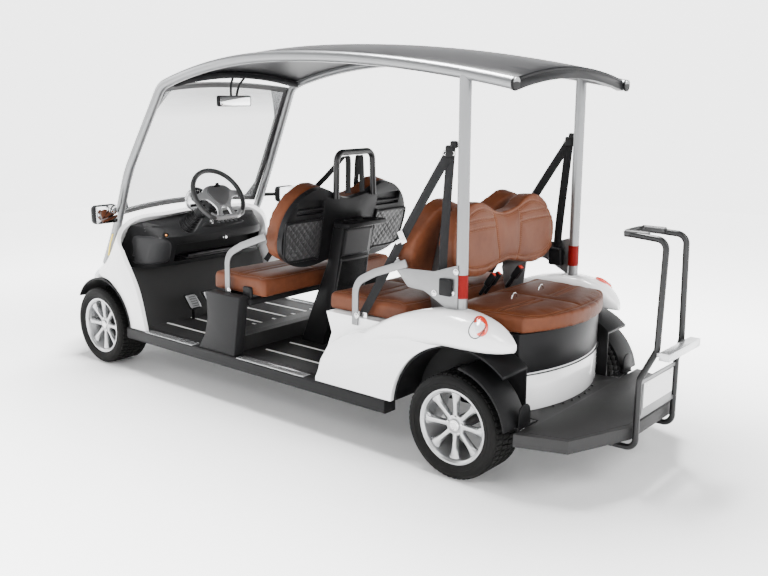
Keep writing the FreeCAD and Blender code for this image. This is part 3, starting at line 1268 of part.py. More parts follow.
def apron_ring(inset, wall, low, high):
    """A wall that follows the rear seat's round tail in plan."""
    def outline(extra):
        corner_x, corner_y = val("apron_corner_x") + extra, val("apron_corner_y") - extra
        rear, front = val("apron_rear_x") + extra, val("base_tail_x - joint_gap")
        ends = [Vector(front, corner_y, low), Vector(corner_x, corner_y, low)]
        tail = Part.Arc(ends[1], Vector(rear, 0, low), Vector(corner_x, -corner_y, low)).toShape()
        others = [Part.LineSegment(ends[0], ends[1]).toShape(), tail,
                  Part.LineSegment(Vector(corner_x, -corner_y, low), Vector(front, -corner_y, low)).toShape(),
                  Part.LineSegment(Vector(front, -corner_y, low), ends[0]).toShape()]
        return Part.Face(Part.Wire(others))
    outer = outline(inset).extrude(Vector(0, 0, high - low))
    inner = outline(inset + wall).extrude(Vector(0, 0, high - low))
    return outer.cut(inner)


def rear_apron():
    return apron_ring(0, val("apron_wall"), val("apron_low_z + joint_gap"), val("rear_cushion_low_z"))


def rear_valance():
    return apron_ring(val("joint_gap"), val("apron_wall"), val("platform_top_z + joint_gap"), val("apron_low_z"))


# the way up the lamp's face and the way that it faces, on the left side
LAMP_UP_SHARES, LAMP_FACE_SHARES = (0.57, -0.545, 0.61), (-0.25, 0.68, 0.69)


def tail_lamp_shape(grow):
    """An oval lamp that follows the shoulder of the wing."""
    shape = Part.makeSphere(1)
    m = FreeCAD.Matrix()
    m.scale(val("tail_lamp_length / 2") + grow, val("tail_lamp_width / 2") + grow, val("tail_lamp_height / 2") + grow)
    up, face = Vector(*LAMP_UP_SHARES), Vector(*LAMP_FACE_SHARES)
    turn = Rotation(face.cross(up), face, up, "ZYX")
    return put(shape.transformGeometry(m), vec("tail_lamp_x", "tail_lamp_y", "tail_lamp_z"), turn)


# Brackets, reels and belts

# outline of the plate between pillar and armrest, as shares of its reach ahead
# of the pillar and of its height
BRACKET_SHARES = [
    (0.00, 0.00), (0.07, 0.00), (0.50, 0.38), (0.75, 0.40), (1.00, 0.84), (0.92, 1.00), (0.78, 0.80),
    (0.35, 0.83), (0.02, 1.02), (0.00, 1.02),
]


def seat_bracket_shape():
    x0, z0, z1 = val("rear_pillar_x"), val("bracket_low_z"), val("bracket_high_z")
    reach, y = val("bracket_reach"), val("pillar_face_y")
    points = [Vector(x0 + u * reach, y, z0 + v * (z1 - z0)) for u, v in BRACKET_SHARES]
    return Part.Face(Part.makePolygon(points + points[:1])).extrude(Vector(0, val("bracket_depth"), 0))


def back_strut_shape():
    """A plate between the two backs that carries them on the seat base."""
    gap = val("joint_gap * 2")
    second_x, second_z, top = val("second_back_x"), val("second_back_low_z"), val("strut_top_z")
    rear_x, rear_z = val("rear_back_x"), val("rear_back_low_z")
    lean, other = math.tan(math.radians(val("back_tilt"))), math.tan(math.radians(val("rear_back_tilt")))
    foot_z, y = val("seat_base_z + joint_gap"), val("strut_y")
    points = [
        Vector(val("strut_foot_x"), y, foot_z), Vector(val("strut_foot_front_x"), y, foot_z),
        Vector(second_x - gap, y, second_z), Vector(second_x - gap - (top - second_z) * lean, y, top),
        Vector(rear_x + gap - (top - rear_z) * other, y, top), Vector(rear_x + gap, y, rear_z),
    ]
    return Part.Face(Part.makePolygon(points + points[:1])).extrude(Vector(0, val("strut_depth"), 0))


def belt_reel_shape():
    mid = vec("reel_x", "reel_y", "reel_z")
    size = vec("reel_width", "reel_depth", "reel_height")
    return bar_box(mid - size * 0.5, mid + size * 0.5)


def strap_run(low, high):
    """A flat strap between two places, its width in side view."""
    way = (high - low).normalize()
    side = way.cross(Vector(0, 1, 0)) * val("belt_width / 2")
    corners = [low - side, low + side, high + side, high - side]
    return Part.Face(Part.makePolygon(corners + corners[:1])).extrude(Vector(0, val("belt_depth"), 0))


def seat_belt_shapes():
    """One side's reel, pillar guide and webbing."""
    guide, tongue = vec("guide_x", "belt_y", "guide_z"), vec("tongue_x", "belt_y", "tongue_z")
    anchor = vec("anchor_x", "belt_y", "anchor_z")
    reel_top = vec("reel_x", "belt_y", "reel_z + reel_height / 2 + joint_gap")
    wide, tall = val("guide_width"), val("guide_height")
    block = bar_box(Vector(val("rear_pillar_x"), guide.y - wide / 2, guide.z - tall / 2),
                    Vector(guide.x + wide / 2, guide.y + wide / 3, guide.z + tall / 2))
    pillar = rod(vec("rear_pillar_x", "rear_pillar_y", "rear_pillar_foot_z"),
                 vec("rear_pillar_x", "rear_pillar_y", "rail_peak_z"), val("tube_radius + joint_gap"))
    runs = [strap_run(tongue, guide), strap_run(anchor, tongue), block.cut(pillar)]
    webbing = strap_run(reel_top, guide).fuse(runs)
    return [webbing, belt_reel_shape()]


# Platform, grab bar, plate and lamp bar

def platform_points(inset):
    half = [("platform_front_x", "platform_neck_y"), (f"platform_side_x + {inset}", "platform_neck_y + overrun / 2"),
            (f"platform_side_x + {inset}", f"platform_corner_y - {inset}"),
            (f"platform_kink_x + {inset} / 2", f"platform_kink_y - {inset}"),
            (f"platform_rear_x + {inset}", f"platform_rear_y - {inset} / 2")]
    return half + [(u, f"0 - ({v})") for u, v in reversed(half)]


def rear_platform():
    """Foot platform: a tray turned down at its edges, with a raised mat."""
    owner = body("Platform")
    slab(owner, sketch(owner, "XY_Plane", platform_points("0"), "platform_top_z - platform_depth / 2"), "platform_depth")
    mat = [("platform_side_x - mat_margin", "platform_corner_y - 2 * mat_margin"),
           ("platform_kink_x + mat_margin / 2", "platform_kink_y - mat_margin"),
           ("platform_rear_x + mat_margin", "platform_rear_y - mat_margin")]
    slab(owner, sketch(owner, "XY_Plane", mat + [(u, f"0 - ({v})") for u, v in reversed(mat)],
                       "platform_top_z"), "2 * mat_depth")
    hollow = [("platform_front_x + overrun", "platform_neck_y - platform_lip"),
              ("platform_side_x - platform_lip", "platform_neck_y - platform_lip"),
              ("platform_side_x - platform_lip", "platform_corner_y - 2 * platform_lip"),
              ("platform_kink_x + platform_lip / 2", "platform_kink_y - platform_lip"),
              ("platform_rear_x + platform_lip", "platform_rear_y - platform_lip / 2")]
    slab(owner, sketch(owner, "XY_Plane", hollow + [(u, f"0 - ({v})") for u, v in reversed(hollow)],
                       "platform_low_z"), "2 * (platform_depth - platform_plate)", "PartDesign::Pocket")
    for side in ("", "0 - "):
        notch = box_points("tail_drop_x - kick_run - joint_gap", "platform_front_x + overrun",
                           f"{side}rail_y - rail_width / 2 - joint_gap", f"{side}rail_y + rail_width / 2 + joint_gap")
        slab(owner, sketch(owner, "XY_Plane", notch, "platform_top_z"), "4 * platform_depth", "PartDesign::Pocket")
    return node(owner, "rear_platform")


def grab_bar(radius):
    """One bent tube from the frame's end and back to it, with a handle loop on top."""
    low_x = val("grab_low_x")
    top_x = val("bar_top_x")
    z_hook = val("rail_low_z - bar_tube_radius - joint_gap")
    half = [
        Vector(val("bar_hook_x"), val("bar_low_y"), z_hook), Vector(low_x, val("bar_low_y"), z_hook),
        Vector(low_x, val("bar_low_y"), val("bar_low_top_z")), Vector(top_x, val("bar_knee_y"), val("bar_knee_z")),
        Vector(top_x, val("bar_top_y"), val("bar_top_z")), Vector(val("handle_x"), val("handle_y"), val("handle_z")),
    ]
    points = half + [Vector(p.x, -p.y, p.z) for p in reversed(half)]
    return piped(rounded_path(points, val("bar_bend")), radius)


def rear_plate():
    """Blank plate between the grab bar's legs, with the bar below it."""
    low_x = val("grab_low_x - plate_thick")
    half, thick = val("plate_half_width"), val("plate_thick")
    out = bar_box(Vector(low_x, -half, val("plate_low_z")), Vector(low_x + thick, half, val("plate_high_z")))
    reach = val("bar_low_y - bar_tube_radius - joint_gap")
    for z in (val("plate_low_z"), val("plate_high_z")):
        out = out.fuse(bar_box(Vector(low_x, -reach, z - 2 * thick), Vector(low_x + 2 * thick, reach, z + 2 * thick)))
    return out.removeSplitter()


def lamp_bar():
    x = val("tail_x")
    deep, high, half = val("lamp_bar_depth"), val("lamp_bar_height"), val("lamp_bar_half_width")
    z = val("lamp_bar_z")
    bar = bar_box(Vector(x, -half, z - high / 2), Vector(x + deep, half, z + high / 2))
    arm_y, wide = val("lamp_arm_y"), val("lamp_arm_width")
    arms = [bar_box(Vector(x + deep, y - wide / 2, z - wide / 2), Vector(val("bar_top_x"), y + wide / 2, z + wide / 2))
            for y in (arm_y, -arm_y)]
    return largest(bar.fuse(arms).cut(grab_bar(val("bar_tube_radius + joint_gap"))))


def check_and_write():
    """Stop on any failed object, then write one file for each sub-part."""
    doc.recompute()
    faults = [o.Name for o in doc.Objects if "Invalid" in o.State or "Error" in o.State]
    faults += [o.Label for o in NODES if o.Shape.isNull() or not o.Shape.isValid()]
    if faults:
        raise RuntimeError(f"failed: {faults}")
    os.makedirs("parts", exist_ok=True)
    for obj in NODES:
        obj.Shape.exportStep(f"parts/{obj.Label}.step")


def plain(shape, label):
    return node(feature(shape, "Shape"), label)


def largest(shape):
    """The largest solid of what a cut leaves."""
    return max(shape.Solids, key=lambda s: s.Volume)


def without(shape, others):
    for other in others:
        shape = shape.cut(other)
    return shape


def assemble():
    wheels()
    knuckle("knuckle_left", 1)
    knuckle("knuckle_right", -1)
    axles()
    leaf_springs()
    chassis_frame()
    battery_pack()
    floor_pan()
    side_sills()
    plain(front_bumper(), "front_bumper")
    pillars = windscreen_pillars()
    cowl = front_body().cut(pillars)
    plain(cowl, "front_body")
    dash = dashboard().common(front_shell(val("panel + running_gap"), val("floor_z")))
    plain(dash, "dashboard")
    place = vec("wheel_x", "wheel_y", "wheel_z")
    column = largest(put(steering_column(), place, steering_frame()).cut(dash))
    plain(column.fuse(instrument_pod()).removeSplitter(), "steering_column")
    steering_wheel()
    pedals()
    plain(largest(without(windscreen(), [pillars, cowl])), "windscreen_frame")
    rails = roof_rails()
    tubes = [left.fuse(right).removeSplitter() for left, right in zip(pillars.Solids, rails.Solids)]
    plain(Part.makeCompound(tubes), "roof_tubes")
    roof = without(roof_panel(), [rails])
    plain(roof, "roof_panel")
    bars = [without(b, [rails, roof]) for b in roof_crossbars()]
    plain(Part.makeCompound(bars), "roof_crossbars")
    mirror = largest(side_mirrors().cut(pillars))
    inner_mirror = largest(without(interior_mirror(), bars))
    plain(Part.makeCompound([inner_mirror, mirror, flip_y(mirror)]), "mirrors")
    console = console_column()
    doc.recompute()
    column_shape = console.Shape.copy()
    node(console, "console_column")
    seat_tube = [without(t, [column_shape]) for t in seat_tubes()]
    plain(Part.makeCompound([seat_pedestals()] + seat_tube), "front_seat_frame")
    seat_cushions()
    seat_backs()
    back_shell = front_seat_shell()
    plain(back_shell, "front_seat_shell")
    plain(largest(belt_hoop().cut(back_shell)), "belt_hoop")
    shell = rear_body()
    lamp = tail_lamp_shape(val("joint_gap"))
    shell = without(shell, [lamp, flip_y(lamp)])
    plain(shell, "rear_body")
    guard = rear_mudguards()
    liners = [both_sides(front_liner(cowl)), both_sides(rear_liner(shell)), both_sides(guard)]
    plain(Part.makeCompound(liners), "arch_liners")
    plain(Part.makeCompound([both_sides(headlamp()), both_sides(tail_lamp_shape(0))]), "lamps")
    plain(Part.makeCompound([largest(without(arm, [shell])) for arm in armrests()]), "armrests")
    plain(both_sides(largest(rear_pillars().Solids[0].cut(shell))), "rear_pillars")
    plain(rear_apron(), "rear_apron")
    plain(rear_valance(), "rear_valance")
    brackets = [largest(seat_bracket_shape().cut(shell)), largest(back_strut_shape().cut(shell))]
    plain(Part.makeCompound([both_sides(b) for b in brackets]), "back_brackets")
    plain(Part.makeCompound([both_sides(s) for s in seat_belt_shapes()]), "seat_belts")
    rear_platform()
    plain(grab_bar(val("bar_tube_radius")), "grab_bar")
    plain(rear_plate(), "rear_plate")
    plain(lamp_bar(), "lamp_bar")


assemble()
check_and_write()
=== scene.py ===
import json
import math

import bmesh
import bpy
import numpy as np
from mathutils import Matrix, Vector
from mathutils.bvhtree import BVHTree


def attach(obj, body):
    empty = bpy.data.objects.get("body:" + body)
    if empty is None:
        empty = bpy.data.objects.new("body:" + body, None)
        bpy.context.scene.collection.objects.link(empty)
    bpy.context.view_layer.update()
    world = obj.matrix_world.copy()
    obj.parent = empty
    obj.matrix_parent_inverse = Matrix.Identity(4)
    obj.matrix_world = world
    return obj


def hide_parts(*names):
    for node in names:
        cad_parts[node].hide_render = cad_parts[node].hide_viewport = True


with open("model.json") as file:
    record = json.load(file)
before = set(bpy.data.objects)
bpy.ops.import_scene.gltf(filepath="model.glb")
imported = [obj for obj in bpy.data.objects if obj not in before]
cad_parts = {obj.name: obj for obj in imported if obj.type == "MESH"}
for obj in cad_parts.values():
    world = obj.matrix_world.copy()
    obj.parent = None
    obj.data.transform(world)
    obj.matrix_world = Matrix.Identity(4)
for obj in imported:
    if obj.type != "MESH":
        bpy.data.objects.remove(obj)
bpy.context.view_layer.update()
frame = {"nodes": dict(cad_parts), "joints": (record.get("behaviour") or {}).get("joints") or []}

bl_info = {
    "name": "Golf cart",
    "version": (1, 0, 0),
    "blender": (4, 5, 0),
    "location": "View3D > Sidebar > Cart",
    "description": "Dresses the construction of a six-seat golf cart with its finishes, seats and trim",
    "category": "Object",
}

JOINTS = {j["name"]: j for j in frame["joints"]}
REAR_AXLE = Vector(JOINTS["rear_left_spin"]["pos_m"])
SIDES = (1, -1)
AHEAD, BACK, LEFT, DOWN = (1, 0, 0), (-1, 0, 0), (0, 1, 0), (0, 0, -1)
# the left tail lamp's middle, and the distance below which the construction's points are one
TAIL_LAMP = (-105, 543, 677)
MERGE = 2e-5


def at(x, y, z):
    """A place from its millimetres ahead of the rear axle, to the left and above the ground."""
    return Vector((REAR_AXLE.x + x / 1000, y / 1000, z / 1000))


# Node trees

class Tree:
    """Adds nodes to a tree, with inputs by name or number and settings by keyword."""

    def __init__(self, tree):
        self.tree = tree
        tree.nodes.clear()

    def add(self, kind, inputs=None, **settings):
        node = self.tree.nodes.new(kind)
        for key, value in settings.items():
            setattr(node, key, value)
        for key, value in (inputs or {}).items():
            socket = node.inputs[key]
            if isinstance(value, bpy.types.NodeSocket):
                self.tree.links.new(value, socket)
            else:
                socket.default_value = value
        return node

    def maths(self, operation, a, b=0.0):
        return self.add("ShaderNodeMath", {0: a, 1: b}, operation=operation).outputs[0]

    def place(self):
        """The surface's place in the object's own space."""
        return self.add("ShaderNodeTexCoord").outputs["Object"]

    def noise(self, vector, scale, detail=3.0, rough=0.55):
        inputs = {"Vector": vector, "Scale": scale, "Detail": detail, "Roughness": rough}
        return self.add("ShaderNodeTexNoise", inputs).outputs["Fac"]

    def ranged(self, value, start, end, low, high, kind="LINEAR"):
        """A value carried from the range start to end into the range low to high."""
        inputs = {0: value, 1: start, 2: end, 3: low, 4: high}
        return self.add("ShaderNodeMapRange", inputs, interpolation_type=kind).outputs[0]

    def bump(self, height, strength, distance):
        return self.add("ShaderNodeBump", {"Height": height, "Strength": strength, "Distance": distance}).outputs[0]

    def blend(self, colours, fac):
        """A blend of two colours by a mask; inputs 6 and 7 and output 2 are the node's colour sockets."""
        mix = self.add("ShaderNodeMix", {0: fac}, data_type="RGBA")
        for number, colour in zip((6, 7), colours):
            mix.inputs[number].default_value = (*colour, 1.0)
        return mix.outputs[2]


def make_grains():
    """Shared surface effects: each gives a height for the bump and a shade mask."""
    grains = {}
    for name in ("Leather grain", "Moulded grain", "Brushed grain", "Paint grain", "Woven grain", "Road grain"):
        tree = bpy.data.node_groups.new(name, "ShaderNodeTree")
        tree.interface.new_socket("Scale", in_out="INPUT", socket_type="NodeSocketFloat").default_value = 1.0
        for label in ("Height", "Shade"):
            tree.interface.new_socket(label, in_out="OUTPUT", socket_type="NodeSocketFloat")
        build = Tree(tree)
        given = build.add("NodeGroupInput").outputs
        place = build.place()
        scaled = build.add("ShaderNodeVectorMath", {0: place, "Scale": given["Scale"]}, operation="SCALE").outputs[0]
        if name == "Leather grain":
            cells = build.add("ShaderNodeTexVoronoi", {"Vector": scaled, "Scale": 330.0}, feature="DISTANCE_TO_EDGE")
            pebble = build.maths("MINIMUM", build.maths("MULTIPLY", cells.outputs["Distance"], 3.0), 1.0)
            crease = build.noise(scaled, 38.0, 5.0)
            height = build.maths("ADD", build.maths("MULTIPLY", pebble, 0.35), crease)
            shade = build.maths("MULTIPLY", build.noise(scaled, 6.0), build.maths("ADD", crease, 0.5))
        elif name == "Moulded grain":
            fine = build.add("ShaderNodeTexVoronoi", {"Vector": scaled, "Scale": 520.0}).outputs["Distance"]
            height = build.maths("ADD", fine, build.noise(scaled, 150.0, 2.0))
            shade = build.noise(scaled, 4.0, 6.0)
        elif name == "Brushed grain":
            stretch = build.add("ShaderNodeVectorMath", {0: scaled, 1: (30.0, 900.0, 420.0)}, operation="MULTIPLY")
            height = build.noise(stretch.outputs[0], 1.0, 2.0)
            shade = build.maths("MULTIPLY", build.maths("ADD", height, build.noise(scaled, 5.0)), 0.5)
        elif name == "Paint grain":
            height = build.noise(scaled, 260.0, 1.0)
            shade = build.noise(scaled, 2.5, 5.0)
        elif name == "Woven grain":
            waves = [build.add("ShaderNodeTexWave", {"Vector": scaled, "Scale": 170.0}, bands_direction=axis)
                     for axis in ("X", "Z")]
            height = build.maths("MULTIPLY", waves[0].outputs["Fac"], waves[1].outputs["Fac"])
            shade = build.maths("ADD", build.maths("MULTIPLY", height, 0.5), build.noise(scaled, 20.0))
        else:
            height = build.noise(scaled, 420.0, 6.0, 0.7)
            low = build.add("ShaderNodeSeparateXYZ", {0: place}).outputs["Z"]
            shade = build.maths("MULTIPLY", build.ranged(low, 0.02, 0.45, 1.0, 0.0), build.noise(scaled, 9.0, 6.0))
        build.add("NodeGroupOutput", {"Height": height, "Shade": shade})
        grains[name] = tree
    return grains


# the little shine of black mouldings
DULL = {"Specular IOR Level": 0.1}
# colour, second colour, roughness low and high, grain, its scale, bump in mm, other shader values
FINISHES = {
    "white paint": ((0.86, 0.86, 0.86), (0.80, 0.80, 0.81), 0.22, 0.30, "Paint grain", 1.0, 0.02,
                    {"Coat Weight": 0.8, "Coat Roughness": 0.06}),
    "seat leather": ((0.122, 0.036, 0.013), (0.062, 0.017, 0.0062), 0.44, 0.60, "Leather grain", 1.0, 0.5,
                     {"Sheen Weight": 0.02, "Sheen Roughness": 0.4, "Specular IOR Level": 0.18}),
    "leather thread": ((0.294, 0.133, 0.063), (0.21, 0.084, 0.035), 0.6, 0.7, "Woven grain", 2.0, 0.2, {}),
    "satin shell": ((0.005, 0.005, 0.0055), (0.0084, 0.0084, 0.0088), 0.30, 0.42, "Moulded grain", 1.0, 0.08, DULL),
    "dash moulding": ((0.0046, 0.0046, 0.005), (0.0073, 0.0073, 0.0077), 0.42, 0.56, "Moulded grain", 1.2, 0.25, DULL),
    "fender moulding": ((0.0038, 0.0038, 0.0042), (0.0067, 0.0067, 0.0071), 0.36, 0.52, "Moulded grain", 0.8, 0.2,
                        DULL),
    "sill moulding": ((0.0084, 0.0084, 0.0088), (0.0134, 0.0134, 0.0139), 0.40, 0.55, "Moulded grain", 0.9, 0.2, DULL),
    "roof gloss": ((0.0049, 0.0049, 0.0056), (0.007, 0.007, 0.0077), 0.3, 0.4, "Paint grain", 1.0, 0.02,
                   DULL),
    "black enamel": ((0.0052, 0.0052, 0.0056), (0.0092, 0.0092, 0.0096), 0.24, 0.34, "Paint grain", 2.0, 0.04,
                     {"Specular IOR Level": 0.3}),
    "frame enamel": ((0.0108, 0.0108, 0.0114), (0.03, 0.027, 0.024), 0.45, 0.65, "Road grain", 1.0, 0.1, {}),
    "silver tube": ((0.2015, 0.2053, 0.2091), (0.1728, 0.1766, 0.1805), 0.26, 0.36, "Paint grain", 3.0, 0.04,
                    {"Metallic": 0.7, "Coat Weight": 0.3, "Coat Roughness": 0.1}),
    "wheel silver": ((0.43, 0.436, 0.442), (0.33, 0.33, 0.33), 0.24, 0.38, "Road grain", 1.0, 0.05,
                     {"Metallic": 0.85, "Coat Weight": 0.5, "Coat Roughness": 0.08}),
    "brushed aluminium": ((0.2079, 0.2103, 0.2129), (0.1633, 0.1659, 0.1683), 0.34, 0.48, "Brushed grain", 1.0, 0.06,
                          {"Metallic": 0.9}),
    "bright steel": ((0.70, 0.70, 0.70), (0.60, 0.60, 0.60), 0.16, 0.28, "Brushed grain", 1.4, 0.03,
                     {"Metallic": 1.0}),
    "wheel trim silver": ((0.5328, 0.54, 0.5472), (0.4752, 0.4824, 0.4896), 0.22, 0.3, "Paint grain", 2.0, 0.03,
                          {"Metallic": 0.7, "Coat Weight": 0.3, "Coat Roughness": 0.1}),
    "pad grey": ((0.0484, 0.0484, 0.0506), (0.066, 0.066, 0.0682), 0.45, 0.55, "Moulded grain", 1.2, 0.2, {}),
    "grip leather": ((0.0096, 0.0096, 0.0102), (0.018, 0.018, 0.0186), 0.38, 0.5, "Leather grain", 1.6, 0.3, {}),
    "tyre rubber": ((0.004, 0.004, 0.004), (0.0123, 0.0119, 0.011), 0.62, 0.85, "Road grain", 1.0, 0.25, DULL),
    "seal rubber": ((0.007, 0.007, 0.007), (0.0126, 0.0126, 0.0126), 0.5, 0.65, "Moulded grain", 1.5, 0.1, {}),
    "floor rubber": ((0.0102, 0.0102, 0.0106), (0.0172, 0.0168, 0.0168), 0.5, 0.66, "Moulded grain", 0.7, 0.5,
                     {"Specular IOR Level": 0.3}),
    "deck rubber": ((0.0117, 0.0117, 0.0121), (0.018, 0.0175, 0.0175), 0.5, 0.64, "Moulded grain", 0.6, 0.6,
                    {"Specular IOR Level": 0.3}),
    "net weave": ((0.0098, 0.0098, 0.0105), (0.021, 0.021, 0.0217), 0.5, 0.7, "Woven grain", 1.5, 0.4, {}),
    "quilted vinyl": ((0.0108, 0.0108, 0.0114), (0.018, 0.018, 0.0186), 0.32, 0.44, "Leather grain", 1.3, 0.2, {}),
    "belt webbing": ((0.0061, 0.0061, 0.0066), (0.0138, 0.0138, 0.0146), 0.6, 0.78, "Woven grain", 2.4, 0.5,
                     {"Specular IOR Level": 0.12}),
    "inlay white": ((0.78, 0.78, 0.77), (0.66, 0.66, 0.65), 0.4, 0.5, "Moulded grain", 1.0, 0.1, {}),
    "panel grey": ((0.0146, 0.0146, 0.0156), (0.0208, 0.0208, 0.0217), 0.34, 0.44, "Moulded grain", 1.0, 0.06,
                   {"Specular IOR Level": 0.2}),
    "reflector red": ((0.17, 0.002, 0.001), (0.12, 0.001, 0.001), 0.46, 0.56, "Woven grain", 3.0, 0.2,
                      {"Specular IOR Level": 0.12}),
    "reflector yellow": ((0.80, 0.60, 0.01), (0.62, 0.45, 0.01), 0.25, 0.35, "Woven grain", 3.0, 0.2,
                         {"Coat Weight": 0.5}),
    "button red": ((0.55, 0.02, 0.01), (0.45, 0.02, 0.01), 0.3, 0.4, "Moulded grain", 1.0, 0.05, {}),
    "lamp amber": ((0.85, 0.30, 0.03), (0.70, 0.20, 0.02), 0.15, 0.25, "Paint grain", 1.0, 0.05,
                   {"Coat Weight": 0.8, "Emission Strength": 0.4, "Emission Color": (1.0, 0.35, 0.05, 1.0)}),
    "mirror face": ((0.90, 0.91, 0.92), (0.86, 0.87, 0.88), 0.02, 0.05, "Paint grain", 1.0, 0.0,
                    {"Metallic": 1.0}),
    "plate white": ((0.74, 0.74, 0.74), (0.68, 0.68, 0.68), 0.3, 0.4, "Paint grain", 1.0, 0.03, {}),
    "battery case": ((0.05, 0.05, 0.055), (0.08, 0.08, 0.08), 0.5, 0.6, "Moulded grain", 1.0, 0.1, {}),
}
# grain trees, geometry trees and finishes that are already made, by name
MADE = {}


def new_material(name):
    """A material and its empty tree."""
    mat = bpy.data.materials.new(name)
    mat.use_nodes = True
    return mat, Tree(mat.node_tree)


def shaded(mat, build, inputs):
    """The material with a Principled shader of these inputs on its surface."""
    shader = build.add("ShaderNodeBsdfPrincipled", inputs)
    build.add("ShaderNodeOutputMaterial", {"Surface": shader.outputs[0]})
    return mat


def finish(name):
    """The material of a finish, made the first time that it is asked for."""
    if name not in MADE:
        colour, other, low, high, grain, scale, depth, extra = FINISHES[name]
        mat, build = new_material(name)
        mat.diffuse_color = (*colour, 1.0)
        effect = build.add("ShaderNodeGroup", node_tree=MADE["grains"][grain])
        effect.inputs["Scale"].default_value = scale
        shade = effect.outputs["Shade"]
        inputs = {"Base Color": build.blend((colour, other), shade),
                  "Roughness": build.ranged(shade, 0.0, 1.0, low, high), **extra}
        if depth:
            inputs["Normal"] = build.bump(effect.outputs["Height"], 0.6, depth / 1000)
        MADE[name] = shaded(mat, build, inputs)
    return MADE[name]


# between these heights the screen's tint grows, in metres
GLASS_BAND = (1.46, 1.60)


def glass_finish():
    """Clear screen glass, faintly grey, darker in a band along its upper edge."""
    mat, build = new_material("screen glass")
    place = build.place()
    height = build.add("ShaderNodeSeparateXYZ", {0: place}).outputs["Z"]
    return shaded(mat, build, {
        "Base Color": (0.30, 0.31, 0.32, 1.0), "Alpha": build.ranged(height, *GLASS_BAND, 0.20, 0.50),
        "Roughness": build.ranged(build.noise(place, 3.0), 0.0, 1.0, 0.01, 0.04), "Specular IOR Level": 0.7})


def lamp_finish():
    """Lens glass: clear in front; behind, red with a clear oval in the middle."""
    mat, build = new_material("lamp lens")
    place = build.place()
    parts = build.add("ShaderNodeSeparateXYZ", {0: place}).outputs
    middle = zip((parts["X"], build.maths("ABSOLUTE", parts["Y"]), parts["Z"]), at(*TAIL_LAMP))
    off_x, off_y, off_z = (build.maths("SUBTRACT", a, b) for a, b in middle)

    def weighed(*terms):
        """The sum of (value, factor) pairs."""
        total = build.maths("MULTIPLY", *terms[0])
        for term in terms[1:]:
            total = build.maths("ADD", total, build.maths("MULTIPLY", *term))
        return total

    def squared(value, radius):
        return build.maths("POWER", build.maths("DIVIDE", value, radius), 2.0)
    up = weighed((off_x, 0.57), (off_y, -0.545), (off_z, 0.61))
    across = weighed((off_x, 0.78), (off_z, -0.5))
    oval = build.maths("SQRT", build.maths("ADD", squared(across, 0.022),
                                           squared(build.maths("ADD", up, 0.012), 0.026)))
    clear = build.maths("MAXIMUM", build.maths("LESS_THAN", oval, 1.0), build.maths("GREATER_THAN", parts["X"], 0.0))
    facets = build.add("ShaderNodeTexVoronoi", {"Vector": place, "Scale": 130.0}).outputs["Distance"]
    return shaded(mat, build, {
        "Base Color": build.blend(((0.60, 0.035, 0.015), (0.80, 0.82, 0.84)), clear), "Roughness": 0.12,
        "Coat Weight": 1.0, "Coat Roughness": 0.03, "Metallic": 0.25, "Normal": build.bump(facets, 0.5, 0.003)})


# Meshes and pieces

def evaluated(obj):
    """A plain mesh of the object with its modifiers or curve applied; the object goes."""
    graph = bpy.context.evaluated_depsgraph_get()
    mesh = bpy.data.meshes.new_from_object(obj.evaluated_get(graph), depsgraph=graph)
    bpy.data.objects.remove(obj)
    return mesh


def object_of(data, name):
    obj = bpy.data.objects.new(name, data)
    bpy.context.scene.collection.objects.link(obj)
    return obj


def mesh_of(bm):
    mesh = bpy.data.meshes.new("mesh")
    bm.to_mesh(mesh)
    bm.free()
    return mesh


def joined(meshes):
    bm = bmesh.new()
    for mesh in meshes:
        bm.from_mesh(mesh)
    return mesh_of(bm)


def on_sides(make):
    """The meshes that a function makes for the left and the right side, joined."""
    return joined([make(side) for side in SIDES])


def moved(mesh, matrix):
    mesh.transform(matrix)
    if matrix.determinant() < 0:
        mesh.flip_normals()
    return mesh


def shifted(mesh, place):
    return moved(mesh, Matrix.Translation(place))


def piece(name, mesh, look, smooth=35.0, stands_for=(), body="frame"):
    """A finished piece: its material, its smooth shading, its body and what it stands for."""
    obj = object_of(mesh, name)
    mesh.name = name
    mesh.materials.clear()
    mesh.materials.append(finish(look))
    mesh.polygons.foreach_set("material_index", [0] * len(mesh.polygons))
    mesh.shade_smooth()
    if smooth:
        mesh.set_sharp_from_angle(angle=math.radians(smooth))
    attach(obj, body)
    if stands_for:
        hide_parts(*stands_for)
    return obj


def recalculated(bm):
    """The mesh of a bmesh with its faces turned outwards."""
    bmesh.ops.recalc_face_normals(bm, faces=bm.faces)
    return mesh_of(bm)


def angles(count, start=0.0):
    """Angles all the way round; start is a share of one step."""
    return [2 * math.pi * (i + start) / count for i in range(count)]


def lofted(rings, closed=False):
    """A skin over rings of points; the ends are capped unless the rings close on themselves."""
    bm = bmesh.new()
    rows = [[bm.verts.new(p) for p in ring] for ring in rings]
    pairs = list(zip(rows, rows[1:])) + ([(rows[-1], rows[0])] if closed else [])
    for low, high in pairs:
        for i in range(len(low)):
            j = (i + 1) % len(low)
            bm.faces.new((low[i], low[j], high[j], high[i]))
    if not closed:
        bm.faces.new(list(reversed(rows[0])))
        bm.faces.new(rows[-1])
    return recalculated(bm)


